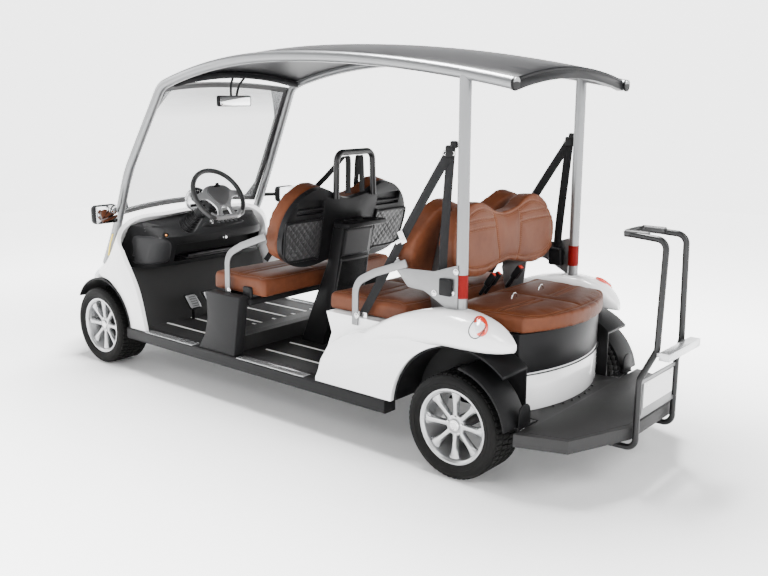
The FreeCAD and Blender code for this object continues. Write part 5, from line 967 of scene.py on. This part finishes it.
class CART_OT_dashboard(bpy.types.Operator):
    """Makes the dashboard's compartment door, switch panel, knobs and ribbed tray"""
    bl_idname = "cart.dashboard"
    bl_label = "Dashboard trim"

    def execute(self, context):
        dash = surface_of("dashboard")
        door = placed_line([(2300, y, z) for y, z in DOOR], 5, True)
        piece("compartment_door", skinned(dash, door, AHEAD, 5.0, 12), "panel grey", 50.0)

        def oval(y, half_x, half_y, count):
            return [at(2262 + half_x * math.sin(t), y + half_y * math.cos(t), 900) for t in angles(count)]
        piece("switch_panel", skinned(dash, oval(-100, 26, 165, 40), DOWN, 7.0, 10), "satin shell", 50.0)
        switches = [skinned(dash, oval(y, 7, 12, 20), DOWN, 11.0, 6, None, 3.0) for y in (-60, -95, -130, -165, -200)]
        piece("switches", joined(switches), "grip leather", 50.0)
        knob = [(0, 0), (12, 0), (13, 3), (11, 5), (10.5, 15), (9, 18), (0, 18)]
        knobs = [turned(knob, 32, at(2270, -12, 822), (-0.55, 0, 0.83)),
                 turned([(r * 0.9, h) for r, h in knob], 32, at(2212, -64, 731), (-1, 0, 0.1))]
        piece("silver_knobs", joined(knobs), "bright steel")
        lock_way = (-0.80, 0.30, 0.52)
        ring = turned([(0, 0), (19, 0), (20, 3), (17, 6), (14, 5), (13, 3), (0, 3)], 40, at(2240, 348, 786), lock_way)
        piece("key_ring", ring, "satin shell")
        glow = turned([(0, 0), (6, 0), (6, 3), (4, 4.5), (0, 5)], 20, at(2239, 348, 788), lock_way)
        piece("key_light", glow, "lamp amber")
        slats = []
        for i in range(9):
            a, b = at(2330 + 11 * i, 330 + 6 * i, 900), at(2330 + 11 * i, 430 - 5 * i, 900)
            hits = thrown(dash, (a, a.lerp(b, 0.5), b), DOWN)
            if len(hits) == 3:
                slats.append(swept(smooth_line(hits, 4), round_section(2.4, 8)))
        piece("deck_slats", joined(slats), "seal rubber", 50.0)
        self.tray()
        self.pedal_faces()
        return {"FINISHED"}

    def tray(self):
        """The shelf's ribbed mat and its lip."""
        ribs = repeated("rows", block((0, 0, 0), (100, 3, 8), 1.2, 1), "seal rubber", Count=38, Pitch=(0, 0.0135, 0))
        lip = placed_line([(2262, 180, 640), (2256, 100, 645), (2254, -90, 646), (2256, -280, 645),
                           (2264, -370, 640)], 6)
        parts = [block(at(2320, -90, 628), (110, 560, 10)), shifted(ribs, at(2322, -340, 637)),
                 swept(lip, flat_section(9, 16))]
        piece("shelf_tray", joined(parts), "grip leather", 40.0)

    def pedal_faces(self):
        """A bright plate with five ribs on each pedal."""
        pads = surface_of("pedals")
        plates, ribs = [], []

        def squared(value):
            return math.copysign(abs(value) ** 0.35, value)
        for y in (205, 70):
            ring = [at(2150, y + 39 * squared(math.cos(t)), 372 + 37 * squared(math.sin(t))) for t in angles(36, 0.5)]
            plates.append(skinned(pads, ring, AHEAD, 3.0, 6))
            for k in range(-2, 3):
                hits = thrown(pads, [at(2100, y + u, 372 + k * 12) for u in (-22, 0, 22)], AHEAD)
                if len(hits) == 3:
                    ribs.append(swept([p + Vector((-0.0035, 0, 0.002)) for p in hits], round_section(1.8, 8)))
        piece("pedal_plates", joined(plates), "wheel trim silver", 40.0)
        piece("pedal_ribs", joined(ribs), "seal rubber", 40.0)


# Padded pieces

BACK_SHARES = [(0.0, 0.835), (0.22, 0.88), (0.50, 1.0), (0.74, 0.93), (0.93, 0.72), (1.0, 0.42), (0.94, 0.16),
               (0.74, 0.02), (0.40, 0.0), (0.18, 0.06)]


def back_border(half, high, inset):
    """The back's closed outline across and up, in millimetres, pulled in by an inset."""
    points = [(u * (half - inset), inset + v * (high - 2 * inset)) for u, v in BACK_SHARES]
    points += [(0, inset + 0.09 * (high - 2 * inset))] + [(-u, v) for u, v in reversed(points[1:])]
    line = flat_line(points, 8, True)
    return line + line[:1]


def back_seams(half, high):
    """Border, centre panel and the two double bands of a seat back."""
    seams = [back_border(half, high, 46)]
    for side in SIDES:
        seams.append([(side * 108, high * 0.80), (side * 96, high * 0.45), (side * 74, high * 0.10)])
        for share in (0.73, 0.62):
            seams.append([(side * (half - 58), high * share), (side * (half * 0.5), high * (share + 0.012)),
                          (side * 104, high * share)])
    return seams


def bench_seams(low, high, half, corner=60):
    """Border, centre panel and double bands of a bench cushion, as (across, along)."""
    u, a, b = half - 52, low + 40, high - 46
    border = [(-u, a + corner), (-u, b - corner), (-u + corner * 0.6, b), (0, b + 6), (u - corner * 0.6, b),
              (u, b - corner), (u, a + corner), (u - corner * 0.5, a), (0, a), (-u + corner * 0.5, a),
              (-u, a + corner)]
    seams = [border]
    for side in SIDES:
        seams.append([(side * 96, a), (side * 96, b)])
        for share in (0.46, 0.60):
            seams.append([(side * 100, a + (b - a) * share), (side * (u - 4), a + (b - a) * share)])
    return seams


def tail_seams():
    """Seams of the rear-facing cushion, whose edge is round behind."""
    border = [(-338, 150), (-336, -60), (-318, -190), (-210, -246), (0, -268), (210, -246), (318, -190),
              (336, -60), (338, 150), (0, 160), (-338, 150)]
    bands = [[(side * 60, v - 6), (side * 326, v + 18)] for side in SIDES for v in (-62, -100)]
    return [border, [(0, -268), (0, 160)]] + bands


# name, node, origin, lean of a back's face in degrees (none for a bench), facing, seams, the solid's span along X
SEATS = [
    ("front_back_pad", "seat_backs", (1195, 0, 722), 13.0, 1, back_seams(488, 440), (900, 1400)),
    ("second_back_pad", "seat_backs", (340, 0, 742), 13.0, 1, back_seams(488, 402), (240, 700)),
    ("rear_back_pad", "seat_backs", (196, 0, 790), -4.0, -1, back_seams(440, 350), (-100, 240)),
    ("front_bench_pad", "seat_cushions", (0, 0, 583), None, 1, bench_seams(1225, 1645, 512), (1000, 2000)),
    ("second_bench_pad", "seat_cushions", (0, 0, 592), None, 1, bench_seams(330, 830, 478), (400, 900)),
    ("rear_bench_pad", "seat_cushions", (0, 0, 614), None, 1, tail_seams(), (-400, 200)),
]
# how far the padding is cut back before it swells, and how deep its seat may go, in metres
CUT_BACK, SEAT_GAP = 0.006, 0.004
# a channel's and a crown's reach from the seam and a stitch's place beside it, in millimetres
CHANNEL_REACH, CROWN_REACH, STITCH_OFF = 5.5, 34.0, 6.5


def seam_points(line, step=4.0):
    """Points every few millimetres along a smooth seam line."""
    pts = smooth_line([Vector((u, v, 0)) for u, v in line], 8)
    out = [pts[0]]
    for p in pts[1:]:
        gap = (p - out[-1]).length
        for k in range(1, int(gap / step) + 1):
            out.append(out[-1].lerp(p, step / max(gap, 1e-6)) if k == 1
                       else out[-1] + (p - out[-1]).normalized() * step)
    return np.array([(p.x, p.y) for p in out])


def rows_of(items, key):
    """The places or directions of a mesh's items as the rows of an array."""
    flat = np.empty(len(items) * 3, np.float32)
    items.foreach_get(key, flat)
    return flat.reshape(-1, 3)


def put_back(mesh, place):
    mesh.vertices.foreach_set("co", place.astype(np.float32).ravel())
    mesh.update()


class CART_OT_seats(bpy.types.Operator):
    """Makes the padded seats: swollen by cloth pressure, then sewn, with their stitches"""
    bl_idname = "cart.seats"
    bl_label = "Seats"

    def execute(self, context):
        sizes = context.scene.cart_sizes
        for name, node, origin, lean, facing, seams, span in SEATS:
            low, high = (at(x, 0, 0).x for x in span)
            bm = cad_mesh(node, lambda p, a=low, b=high: a < p.x < b)
            if lean is None:
                out, rise = Vector((0, 0, 1)), Vector((1, 0, 0))
            else:
                turn = math.radians(lean)
                out = Vector((math.cos(turn), 0, math.sin(turn))) * facing
                rise = Vector((-math.sin(turn), 0, math.cos(turn)))
            start = at(*origin)
            obj = self.padding(bm, name)
            low_face = min((v.co - start).dot(out) for v in obj.data.vertices) - SEAT_GAP
            obj = self.swollen(obj, sizes.swell, start, out, low_face)
            fine = obj.modifiers.new("fine", "SUBSURF")
            fine.levels = fine.render_levels = 1
            mesh = evaluated(obj)
            lines = [seam_points(line) for line in seams]
            self.sewn(mesh, lines, start, rise, out, sizes.seam_depth)
            pad = piece(name, mesh, "seat leather", None, (node,))
            self.stitches(pad, lines, start, rise, out, sizes.stitch_pitch)
        return {"FINISHED"}

    def padding(self, bm, name):
        """A slightly smaller, evenly meshed copy of the cushion's solid."""
        bm.normal_update()
        for vert in bm.verts:
            vert.co -= vert.normal * CUT_BACK
        obj = object_of(mesh_of(bm), name)
        even = obj.modifiers.new("even", "REMESH")
        even.mode, even.voxel_size = "VOXEL", 0.010
        soft = obj.modifiers.new("soft", "SMOOTH")
        soft.factor, soft.iterations = 0.5, 4
        return object_of(evaluated(obj), name)

    def swollen(self, obj, cap, start, out, low_face):
        """Cloth pressure swells the padding, no further than the cap and not through its seat."""
        name = obj.name
        before = rows_of(obj.data.vertices, "co")
        cloth = obj.modifiers.new("swell", "CLOTH")
        settings = cloth.settings
        settings.quality = 4
        settings.use_pressure, settings.uniform_pressure_force = True, 4.0
        settings.tension_stiffness = settings.compression_stiffness = 12.0
        settings.effector_weights.gravity = 0.0
        cloth.collision_settings.use_collision = False
        cloth.point_cache.frame_start, cloth.point_cache.frame_end = 1, 20
        scene = bpy.context.scene
        for number in range(1, 21):
            scene.frame_set(number)
        mesh = evaluated(obj)
        scene.frame_set(1)
        step = rows_of(mesh.vertices, "co") - before
        far = np.linalg.norm(step, axis=1, keepdims=True)
        step *= np.minimum(1.0, cap / np.maximum(far, 1e-9))
        place = before + step
        depth = (place - np.array(start)) @ np.array(out)
        place += np.outer(np.maximum(0.0, low_face - depth), np.array(out))
        put_back(mesh, place)
        return object_of(mesh, name)

    def sewn(self, mesh, lines, start, rise, out, depth):
        """Draws the sewn channels into the face and lets the leather crown between them."""
        count = len(mesh.vertices)
        place, normal = rows_of(mesh.vertices, "co"), rows_of(mesh.vertex_normals, "vector")
        off = (place - np.array(start)) * 1000
        flat = np.stack([off[:, 1], off @ np.array(rise)], 1)
        if abs(rise.x) > 0.9:
            flat[:, 1] = (place[:, 0] - at(0, 0, 0).x) * 1000
        facing = np.clip((normal @ np.array(out) - 0.25) / 0.35, 0.0, 1.0)
        near = np.full(count, 1e9)
        for line in lines:
            for chunk in np.array_split(np.arange(count), 24):
                gap = np.sqrt(((flat[chunk, None, :] - line[None, :, :]) ** 2).sum(2)).min(1)
                near[chunk] = np.minimum(near[chunk], gap)
        channel = np.exp(-(near / CHANNEL_REACH) ** 2) * depth
        crown = (1 - np.exp(-(near / CROWN_REACH) ** 2)) * 0.0035 - 0.001
        place += np.outer((crown - channel) * facing, np.array(out))
        put_back(mesh, place)

    def stitches(self, pad, lines, start, rise, out, pitch):
        """Short threads on both sides of every seam, laid on the leather."""
        skin = surface_of(pad.data)
        runs = []
        for line in lines:
            way = np.gradient(line, axis=0)
            way /= np.maximum(np.linalg.norm(way, axis=1, keepdims=True), 1e-9)
            for side in SIDES:
                run = []
                for (u, v), (a, b) in zip(line, way):
                    u, v = u - b * STITCH_OFF * side, v + a * STITCH_OFF * side
                    if abs(rise.x) > 0.9:
                        spot = Vector((at(v, 0, 0).x, u / 1000, start.z))
                    else:
                        spot = start + rise * (v / 1000) + Vector((0, u / 1000, 0))
                    hit = skin.ray_cast(spot + out * 0.4, -out)[0]
                    if hit is not None and (not run or (hit - run[-1]).length < 0.02):
                        run.append(hit + out * 0.0004)
                if len(run) > 3:
                    runs.append(run)
        section = ((-0.65, -0.5), (-0.65, 0.5), (0.65, 0.5), (0.65, -0.5))
        thread = lofted([[Vector((x, y * w, z * w)) / 1000 for y, z in section]
                         for x, w in ((-2.8, 0.5), (0, 1.0), (2.8, 0.5))])
        mesh = repeated("along", thread, "leather thread", line_mesh(runs), Spacing=pitch)
        piece(pad.name.replace("_pad", "_stitches"), mesh, "leather thread", 40.0)


# Cabin

POCKET = [(205, 775), (212, 960), (240, 968), (430, 968), (462, 950), (450, 820), (420, 772), (240, 766)]
COLUMN_PANEL = [(-102, 776), (-102, 892), (-90, 904), (90, 904), (102, 892), (102, 776), (90, 766), (-90, 766)]
NET_LOW, NET_HIGH, NET_HALF, NET_STEP = 530, 742, 104, 15.0
NET_HEM = [(-NET_HALF, NET_LOW), (-NET_HALF, NET_HIGH - 10), (-NET_HALF + 12, NET_HIGH), (NET_HALF - 12, NET_HIGH),
           (NET_HALF, NET_HIGH - 10), (NET_HALF, NET_LOW), (0, NET_LOW - 4)]
# first and last x, and the rows' y, of the strips on each floor
FLOOR_STRIPS = [(905, 1375, (-370, -195, 0, 195, 370)), (1735, 2240, (-370, -195, 0, 195, 370)),
                (1722, 1846, (-430, -270, -110, 50, 210, 370))]
BOLT_HEAD = [(0, 0), (13, 0), (13, 2), (9, 3), (8.5, 6), (5, 8.5), (0, 9)]


def tube(points, radius):
    """A round tube along places given in millimetres."""
    return swept(placed_line(points, 6), round_section(radius))


def strap(points, width, up, steps=6):
    """Webbing along places in millimetres; its flat face turns to a direction, or to one for each place."""
    if isinstance(up, list):
        up = smooth_line(up, steps)
    return swept(placed_line(points, steps), flat_section(width, 1.6), up)


def quilt(p):
    """The height of the diamond quilting at a place."""
    a, b = (p.y + p.z) / 0.040, (p.y - p.z) / 0.040
    return 0.35 + 0.9 * min(abs(math.sin(a * math.pi)), abs(math.sin(b * math.pi))) ** 0.6


class CART_OT_cabin(bpy.types.Operator):
    """Makes the seat shell's quilting, the tray, the net pocket, the armrest bolts and the floor strips"""
    bl_idname = "cart.cabin"
    bl_label = "Cabin trim"

    def execute(self, context):
        self.quilting()
        self.tray()
        self.net()
        self.strips()
        self.bolts()
        return {"FINISHED"}

    def quilting(self):
        """The two quilted pockets on the back of the front seat, in tube frames."""
        shell = surface_of("front_seat_shell")
        rings = [placed_line([(1000, side * y, z) for y, z in POCKET], 20, True) for side in SIDES]
        frames = []
        for ring in rings:
            line = [hit + Vector((-0.005, 0, 0)) for hit in thrown(shell, ring[::2], AHEAD)]
            frames.append(swept(line, round_section(6.5, 10), AHEAD, True))
        panels = [skinned(shell, ring, AHEAD, 7.0, 44, quilt) for ring in rings]
        piece("quilted_pockets", joined(panels), "quilted vinyl", 60.0)
        piece("pocket_frames", joined(frames), "satin shell", 50.0)

    def tray(self):
        """Cup recesses and the curved panel of the column's tray."""
        cup = [(36, 0), (38, 0), (39, 3), (37, 5), (34, 4), (33, 1), (30, 0.4), (0, 0.4), (0, 0)]
        cups = on_sides(lambda side: turned(cup, 40, at(1024, side * 76, 950)))
        piece("cup_rings", cups, "dash moulding", 40.0)
        ring = placed_line([(900, y, z) for y, z in COLUMN_PANEL], 5, True)
        panel = skinned(surface_of("console_column"), ring, AHEAD, 5.0, 12)
        piece("column_panel", panel, "panel grey", 50.0)

    def net(self):
        """The net pocket on the column's face: crossing cords in a hemmed border."""
        column = surface_of("console_column")

        def on_face(y, z, lift):
            bulge = 16 * max(0.0, 1 - (y / NET_HALF) ** 2) * max(0.0, (z - NET_LOW) / (NET_HIGH - NET_LOW)) ** 0.7
            hit = column.ray_cast(at(900, y, z), AHEAD)[0]
            return None if hit is None else hit - Vector(((lift + bulge) / 1000, 0, 0))
        cords = []
        for slope in SIDES:
            for i in range(int((NET_HIGH - NET_LOW + 2 * NET_HALF) / NET_STEP)):
                line = []
                for k in range(40):
                    y = -NET_HALF + 2 * NET_HALF * k / 39
                    z = NET_LOW - 2 * NET_HALF + i * NET_STEP + (NET_HALF + slope * y)
                    if NET_LOW <= z <= NET_HIGH:
                        line.append(on_face(y, z, 2.4 + 0.8 * slope))
                line = [spot for spot in line if spot is not None]
                if len(line) > 3:
                    cords.append(swept(line, round_section(1.1, 5), AHEAD))
        piece("pocket_net", joined(cords), "belt webbing", 60.0)
        ring = smooth_line([(0, y, z) for y, z in NET_HEM], 6, True)
        hem = [spot for spot in (on_face(p.y, p.z, 3.0) for p in ring) if spot is not None]
        piece("pocket_hem", swept(hem, flat_section(9, 4), AHEAD, True), "net weave", 50.0)

    def strips(self):
        """Raised light strips along the floors, and the scuff plates on the sills."""
        floor, sills = surface_of("floor_pan"), surface_of("side_sills")
        strips, plates, ribs = [], [], []
        for low, high, rows in FLOOR_STRIPS:
            for y in rows:
                spot = at((low + high) / 2, y, 500)
                hit = floor.ray_cast(spot, DOWN)[0]
                if hit is not None:
                    spot.z = hit.z + 0.001
                    strips.append(block(spot, (high - low, 11, 5), 1.6))
        piece("floor_strips", joined(strips), "inlay white", 40.0)
        for low, high in ((1735, 2165), (885, 1375)):
            for side in SIDES:
                middle = (low + high) / 2
                top = sills.ray_cast(at(middle, side * 555, 500), DOWN)[0]
                centre = at(middle, side * 555, (262.0 if top is None else top.z * 1000) + 0.6)
                plates.append(block(centre, (high - low, 52, 3.2), 1.4))
                rib = block((0, 0, 0), (high - low - 40, 2.6, 2.0), 0.7, 1)
                rows = repeated("rows", rib, "seal rubber", Count=4, Pitch=(0, 0.008, 0))
                ribs.append(shifted(rows, centre + Vector((0, -0.012, 0.0018))))
        piece("step_plates", joined(plates), "wheel trim silver", 40.0)
        piece("step_ribs", joined(ribs), "seal rubber", 40.0)

    def bolts(self):
        """Domed bolts with washers on the armrest ends, the brackets and the platform."""
        spots = [(1472, 529, 599), (591, 518.6, 603), (156, 509, 770), (63, 509, 784), (44, 509, 875)]
        bolts = [turned(BOLT_HEAD, 20, at(x, side * y, z), (0, side, 0)) for x, y, z in spots for side in SIDES]
        piece("bolts", joined(bolts), "bright steel")
        spots = [(-250, 180, 270), (-266, 120, 270), (-276, 60, 270), (-279, 0, 270), (-276, -60, 270),
                 (-266, -120, 270), (-250, -180, 270)]
        spots += [(-262, side * y, 273) for side in SIDES for y in (404, 430)]
        small = [(r * 0.6, h * 0.6) for r, h in BOLT_HEAD]
        piece("deck_bolts", joined([turned(small, 20, at(*spot)) for spot in spots]), "black enamel")


# Belts: the left side's places in millimetres, from the upper guide or the reel to the anchor

SHOULDER = [(104, 494, 1352), (180, 494, 1238), (262, 493, 1112), (341, 492, 989), (450, 492, 806), (574, 492, 606)]
DROP = [(94, 492, 1346), (110, 490, 1160), (126, 486, 960), (132, 484, 838)]
FRONT_BELT = [(1062, 55, 1092), (1062, 52, 1180), (1064, 50, 1266), (1076, 52, 1282), (1100, 66, 1262),
              (1150, 112, 1186), (1212, 182, 1086), (1256, 330, 900), (1290, 432, 764)]
FRONT_BELT_FACES = [(-1, 0, 0), (-1, 0, 0), (-1, 0, 0.5), (0, 0, 1), (0.8, 0, 0.6), (1, 0, 0.3), (1, 0, 0.3),
                    (1, 0, 0.3), (1, 0, 0.3)]
GUIDE = [(72, 0), (64, 17), (30, 25), (-30, 25), (-64, 17), (-72, 0), (-64, -13), (0, -17), (64, -13)]
# place, size and rounding
REELS = [((132, 480, 795), (72, 40, 88), 9.0), ((88, 521, 806), (62, 20, 74), 7.0),
         ((94, 494, 1366), (44, 22, 50), 9.0), ((78, 490, 1394), (34, 20, 30), 8.0)]


class CART_OT_belts(bpy.types.Operator):
    """Makes the seat belts with their guides, reels, tongues and buckles"""
    bl_idname = "cart.belts"
    bl_label = "Seat belts"

    def execute(self, context):
        width = context.scene.cart_sizes.belt_width * 1000
        tongue, lean = Matrix.Rotation(0.5, 3, "Y"), Matrix.Rotation(-0.62, 3, "Y")
        webs, reels, metal, stalks, buttons = [], [], [], [], []
        for side in SIDES:
            def sided(points):
                return [(x, side * y, z) for x, y, z in points]
            webs += [strap(sided(SHOULDER), width, (0, side, 0)), strap(sided(DROP), width, (0, side, 0)),
                     strap(sided(FRONT_BELT), 40.0, FRONT_BELT_FACES, 8)]
            reels += [block(at(x, side * y, z), size, round_by, 3) for (x, y, z), size, round_by in REELS]
            guide = [at(98, side * 498, 1358) + Vector((0.40 * x, 0, 0.40 * z)) / 1000 for x, z in GUIDE]
            loop = [at(3, side * 116, 700) + Vector((0, math.cos(t) * 0.021, 0.026 * math.sin(t))) for t in angles(20)]
            metal += [swept(smooth_line(guide, 5, True), round_section(4.0, 10), LEFT, True),
                      block(at(574, side * 494, 598), (52, 4, 40), 1.6),
                      block(at(341, side * 497, 989), (30, 5, 58), 2.0, turn=tongue),
                      block(at(352, side * 499, 972), (52, 6, 16), 2.0, turn=tongue),
                      swept(smooth_line(loop, 3, True), round_section(2.6, 8), AHEAD, True)]
            for place in (at(132, side * 118, 768), at(122, side * 90, 772)):
                stalks.append(block(place, (30, 21, 70), 6.0, 3, lean))
                stalks.append(block(place + lean @ Vector((0, 0, -0.060)), (16, 14, 70), 5.0, 3, lean))
                buttons.append(block(place + lean @ Vector((0, 0, 0.034)), (18, 13, 8), 2.5, turn=lean))
            stalks.append(block(at(1355, side * 500, 600), (66, 22, 58), 8.0, 3))
        piece("belt_webbing", joined(webs), "belt webbing", 60.0, ("seat_belts",))
        piece("belt_reels", joined(reels), "satin shell", 35.0, ("seat_belts",))
        piece("belt_fittings", joined(metal), "bright steel", 40.0)
        piece("buckles", joined(stalks), "satin shell", 35.0)
        piece("buckle_buttons", joined(buttons), "button red")
        return {"FINISHED"}


# Exterior

SIDE_MIRROR = [(-66, -44), (-58, -50), (58, -50), (66, -44), (68, 0), (66, 44), (58, 50), (-58, 50), (-66, 44),
               (-68, 0)]
INNER_MIRROR = [(-112, -20), (-104, -26), (104, -26), (112, -20), (112, 20), (104, 26), (-104, 26), (-112, 20)]
ARCH = [(-44, 0), (-44, 60), (-38, 82), (-22, 95), (0, 99), (22, 95), (38, 82), (44, 60), (44, 0)]


def facing(mesh, way, x, y, z):
    """A flat mesh stood upright at a place, its face turned along a direction."""
    return moved(mesh, basis((0, 1, 0), (0, 0, 1), way, at(x, y, z)))


class CART_OT_exterior(bpy.types.Operator):
    """Makes the mirrors, end caps, reflectors, lamp rings and the parts on the grab bar"""
    bl_idname = "cart.exterior"
    bl_label = "Exterior trim"

    def execute(self, context):
        self.mirrors()
        cap = [(0, -8), (26, -8), (27, -6), (27, 0), (25.5, 3), (0, 4)]
        caps = on_sides(lambda side: turned(cap, 32, at(-198, side * 478, 1632), BACK))
        piece("tube_caps", caps, "satin shell", 40.0)
        band = [(0, 0), (26.2, 0), (26.2, 100), (0, 100)]
        bands = on_sides(lambda side: turned(band, 32, at(35, side * 478, 761)))
        piece("reflector_bands", bands, "reflector red", 40.0)
        strips = on_sides(lambda side: tube([(2559, side * 533, 659), (2515, side * 547, 728),
                                             (2465, side * 556, 797)], 4.6))
        piece("reflector_strips", strips, "reflector yellow", 40.0)
        self.rear()
        return {"FINISHED"}

    def mirrors(self):
        """The shells with their arms, and the bright faces."""
        shells, faces = [], []
        for side in SIDES:
            shells.append(block(at(2328, side * 690, 940), (58, 150, 106), 24.0, 5))
            faces.append(facing(plan_block(SIDE_MIRROR, 0, 2.4, 0.8), BACK, 2300.5, side * 690, 940))
            shells.append(tube([(2410, side * 537, 940), (2384, side * 580, 940), (2344, side * 640, 940)], 12))
        shells.append(block(at(2000, 0, 1556), (24, 250, 62), 11.0, 4))
        faces.append(facing(plan_block(INNER_MIRROR, 0, 1.8, 0.6), BACK, 1988.5, 0, 1556))
        shells += [tube([(2002, side * 20, 1580), (1988, side * 30, 1640), (1956, side * 42, 1684)], 7)
                   for side in SIDES]
        piece("mirror_shells", joined(shells), "satin shell", 45.0, ("mirrors",))
        piece("mirror_faces", joined(faces), "mirror face", 40.0)

    def rear(self):
        """The apron's strip, lamp rings, end plates, grips, light bar and blank plate."""
        spots = [at(-600, -348 + 29 * i, 431) for i in range(25)]
        line = [hit - Vector((0.001, 0, 0)) for hit in thrown(surface_of("rear_valance"), spots, AHEAD)]
        piece("apron_strip", swept(line, flat_section(13, 5)), "panel grey", 50.0)
        skin = surface_of(joined([frame["nodes"][node].data for node in ("rear_body", "lamps")]))

        def lamp_ring(side):
            ring = [at(-105, side * 560, 677) + Vector((0.030 * math.cos(t), 0, 0.044 * math.sin(t)))
                    + Vector((0, side * 0.3, 0)) for t in angles(40)]
            return swept(thrown(skin, ring, (0, -side, 0)), round_section(2.2, 8), LEFT, True)
        piece("lamp_rings", on_sides(lamp_ring), "seal rubber", 50.0)

        def end_plate(side):
            return joined([facing(plan_block(ARCH, 0, 6, 1.6), AHEAD, -286, side * 474, 268),
                           block(at(-268, side * 452, 270.5), (44, 128, 5), 1.6)])
        piece("end_plates", on_sides(end_plate), "fender moulding", 40.0)
        grips = on_sides(lambda side: tube([(x, side * 83, 1041) for x in (-492, -540, -592)], 15.6))
        piece("handle_grips", grips, "grip leather", 40.0)
        eased("lamp_bar_dress", "lamp_bar", "wheel trim silver", 6.0)
        bolts = [turned([(0, 0), (8, 0), (8, 2), (5, 4), (0, 4.4)], 16, at(-640, y, 432), BACK)
                 for y in (-118, 118)]
        piece("plate_bolts", joined(bolts), "bright steel")
        piece("blank_plate", block(at(-640.6, 0, 394), (2.0, 290, 108), 0.8, 1), "plate white", 30.0)


# The add-on

OPERATORS = [CART_OT_stage, CART_OT_construction, CART_OT_wheels, CART_OT_steering, CART_OT_dashboard, CART_OT_seats,
             CART_OT_cabin, CART_OT_belts, CART_OT_exterior]


class CART_PT_panel(bpy.types.Panel):
    """Lists the operators and their settings"""
    bl_idname = "CART_PT_panel"
    bl_label = "Golf cart"
    bl_space_type = "VIEW_3D"
    bl_region_type = "UI"
    bl_category = "Cart"

    def draw(self, context):
        for group in (context.scene.cart_sizes, context.scene.cart_stage):
            for name in group.bl_rna.properties.keys():
                if name not in ("rna_type", "name"):
                    self.layout.prop(group, name)
        for operator in OPERATORS:
            self.layout.operator(operator.bl_idname)


CLASSES = [CartSizes, CartStage] + OPERATORS + [CART_PT_panel]


def register():
    for item in CLASSES:
        bpy.utils.register_class(item)
    bpy.types.Scene.cart_sizes = bpy.props.PointerProperty(type=CartSizes)
    bpy.types.Scene.cart_stage = bpy.props.PointerProperty(type=CartStage)


def unregister():
    del bpy.types.Scene.cart_sizes
    del bpy.types.Scene.cart_stage
    for item in reversed(CLASSES):
        bpy.utils.unregister_class(item)


def main():
    """Runs every operator."""
    register()
    MADE["grains"] = make_grains()
    for kind in ("round", "along", "rows"):
        MADE[kind] = repeat_tree(kind)
    for operator in OPERATORS:
        group, name = operator.bl_idname.split(".")
        getattr(getattr(bpy.ops, group), name)()


if __name__ == "__main__":
    main()
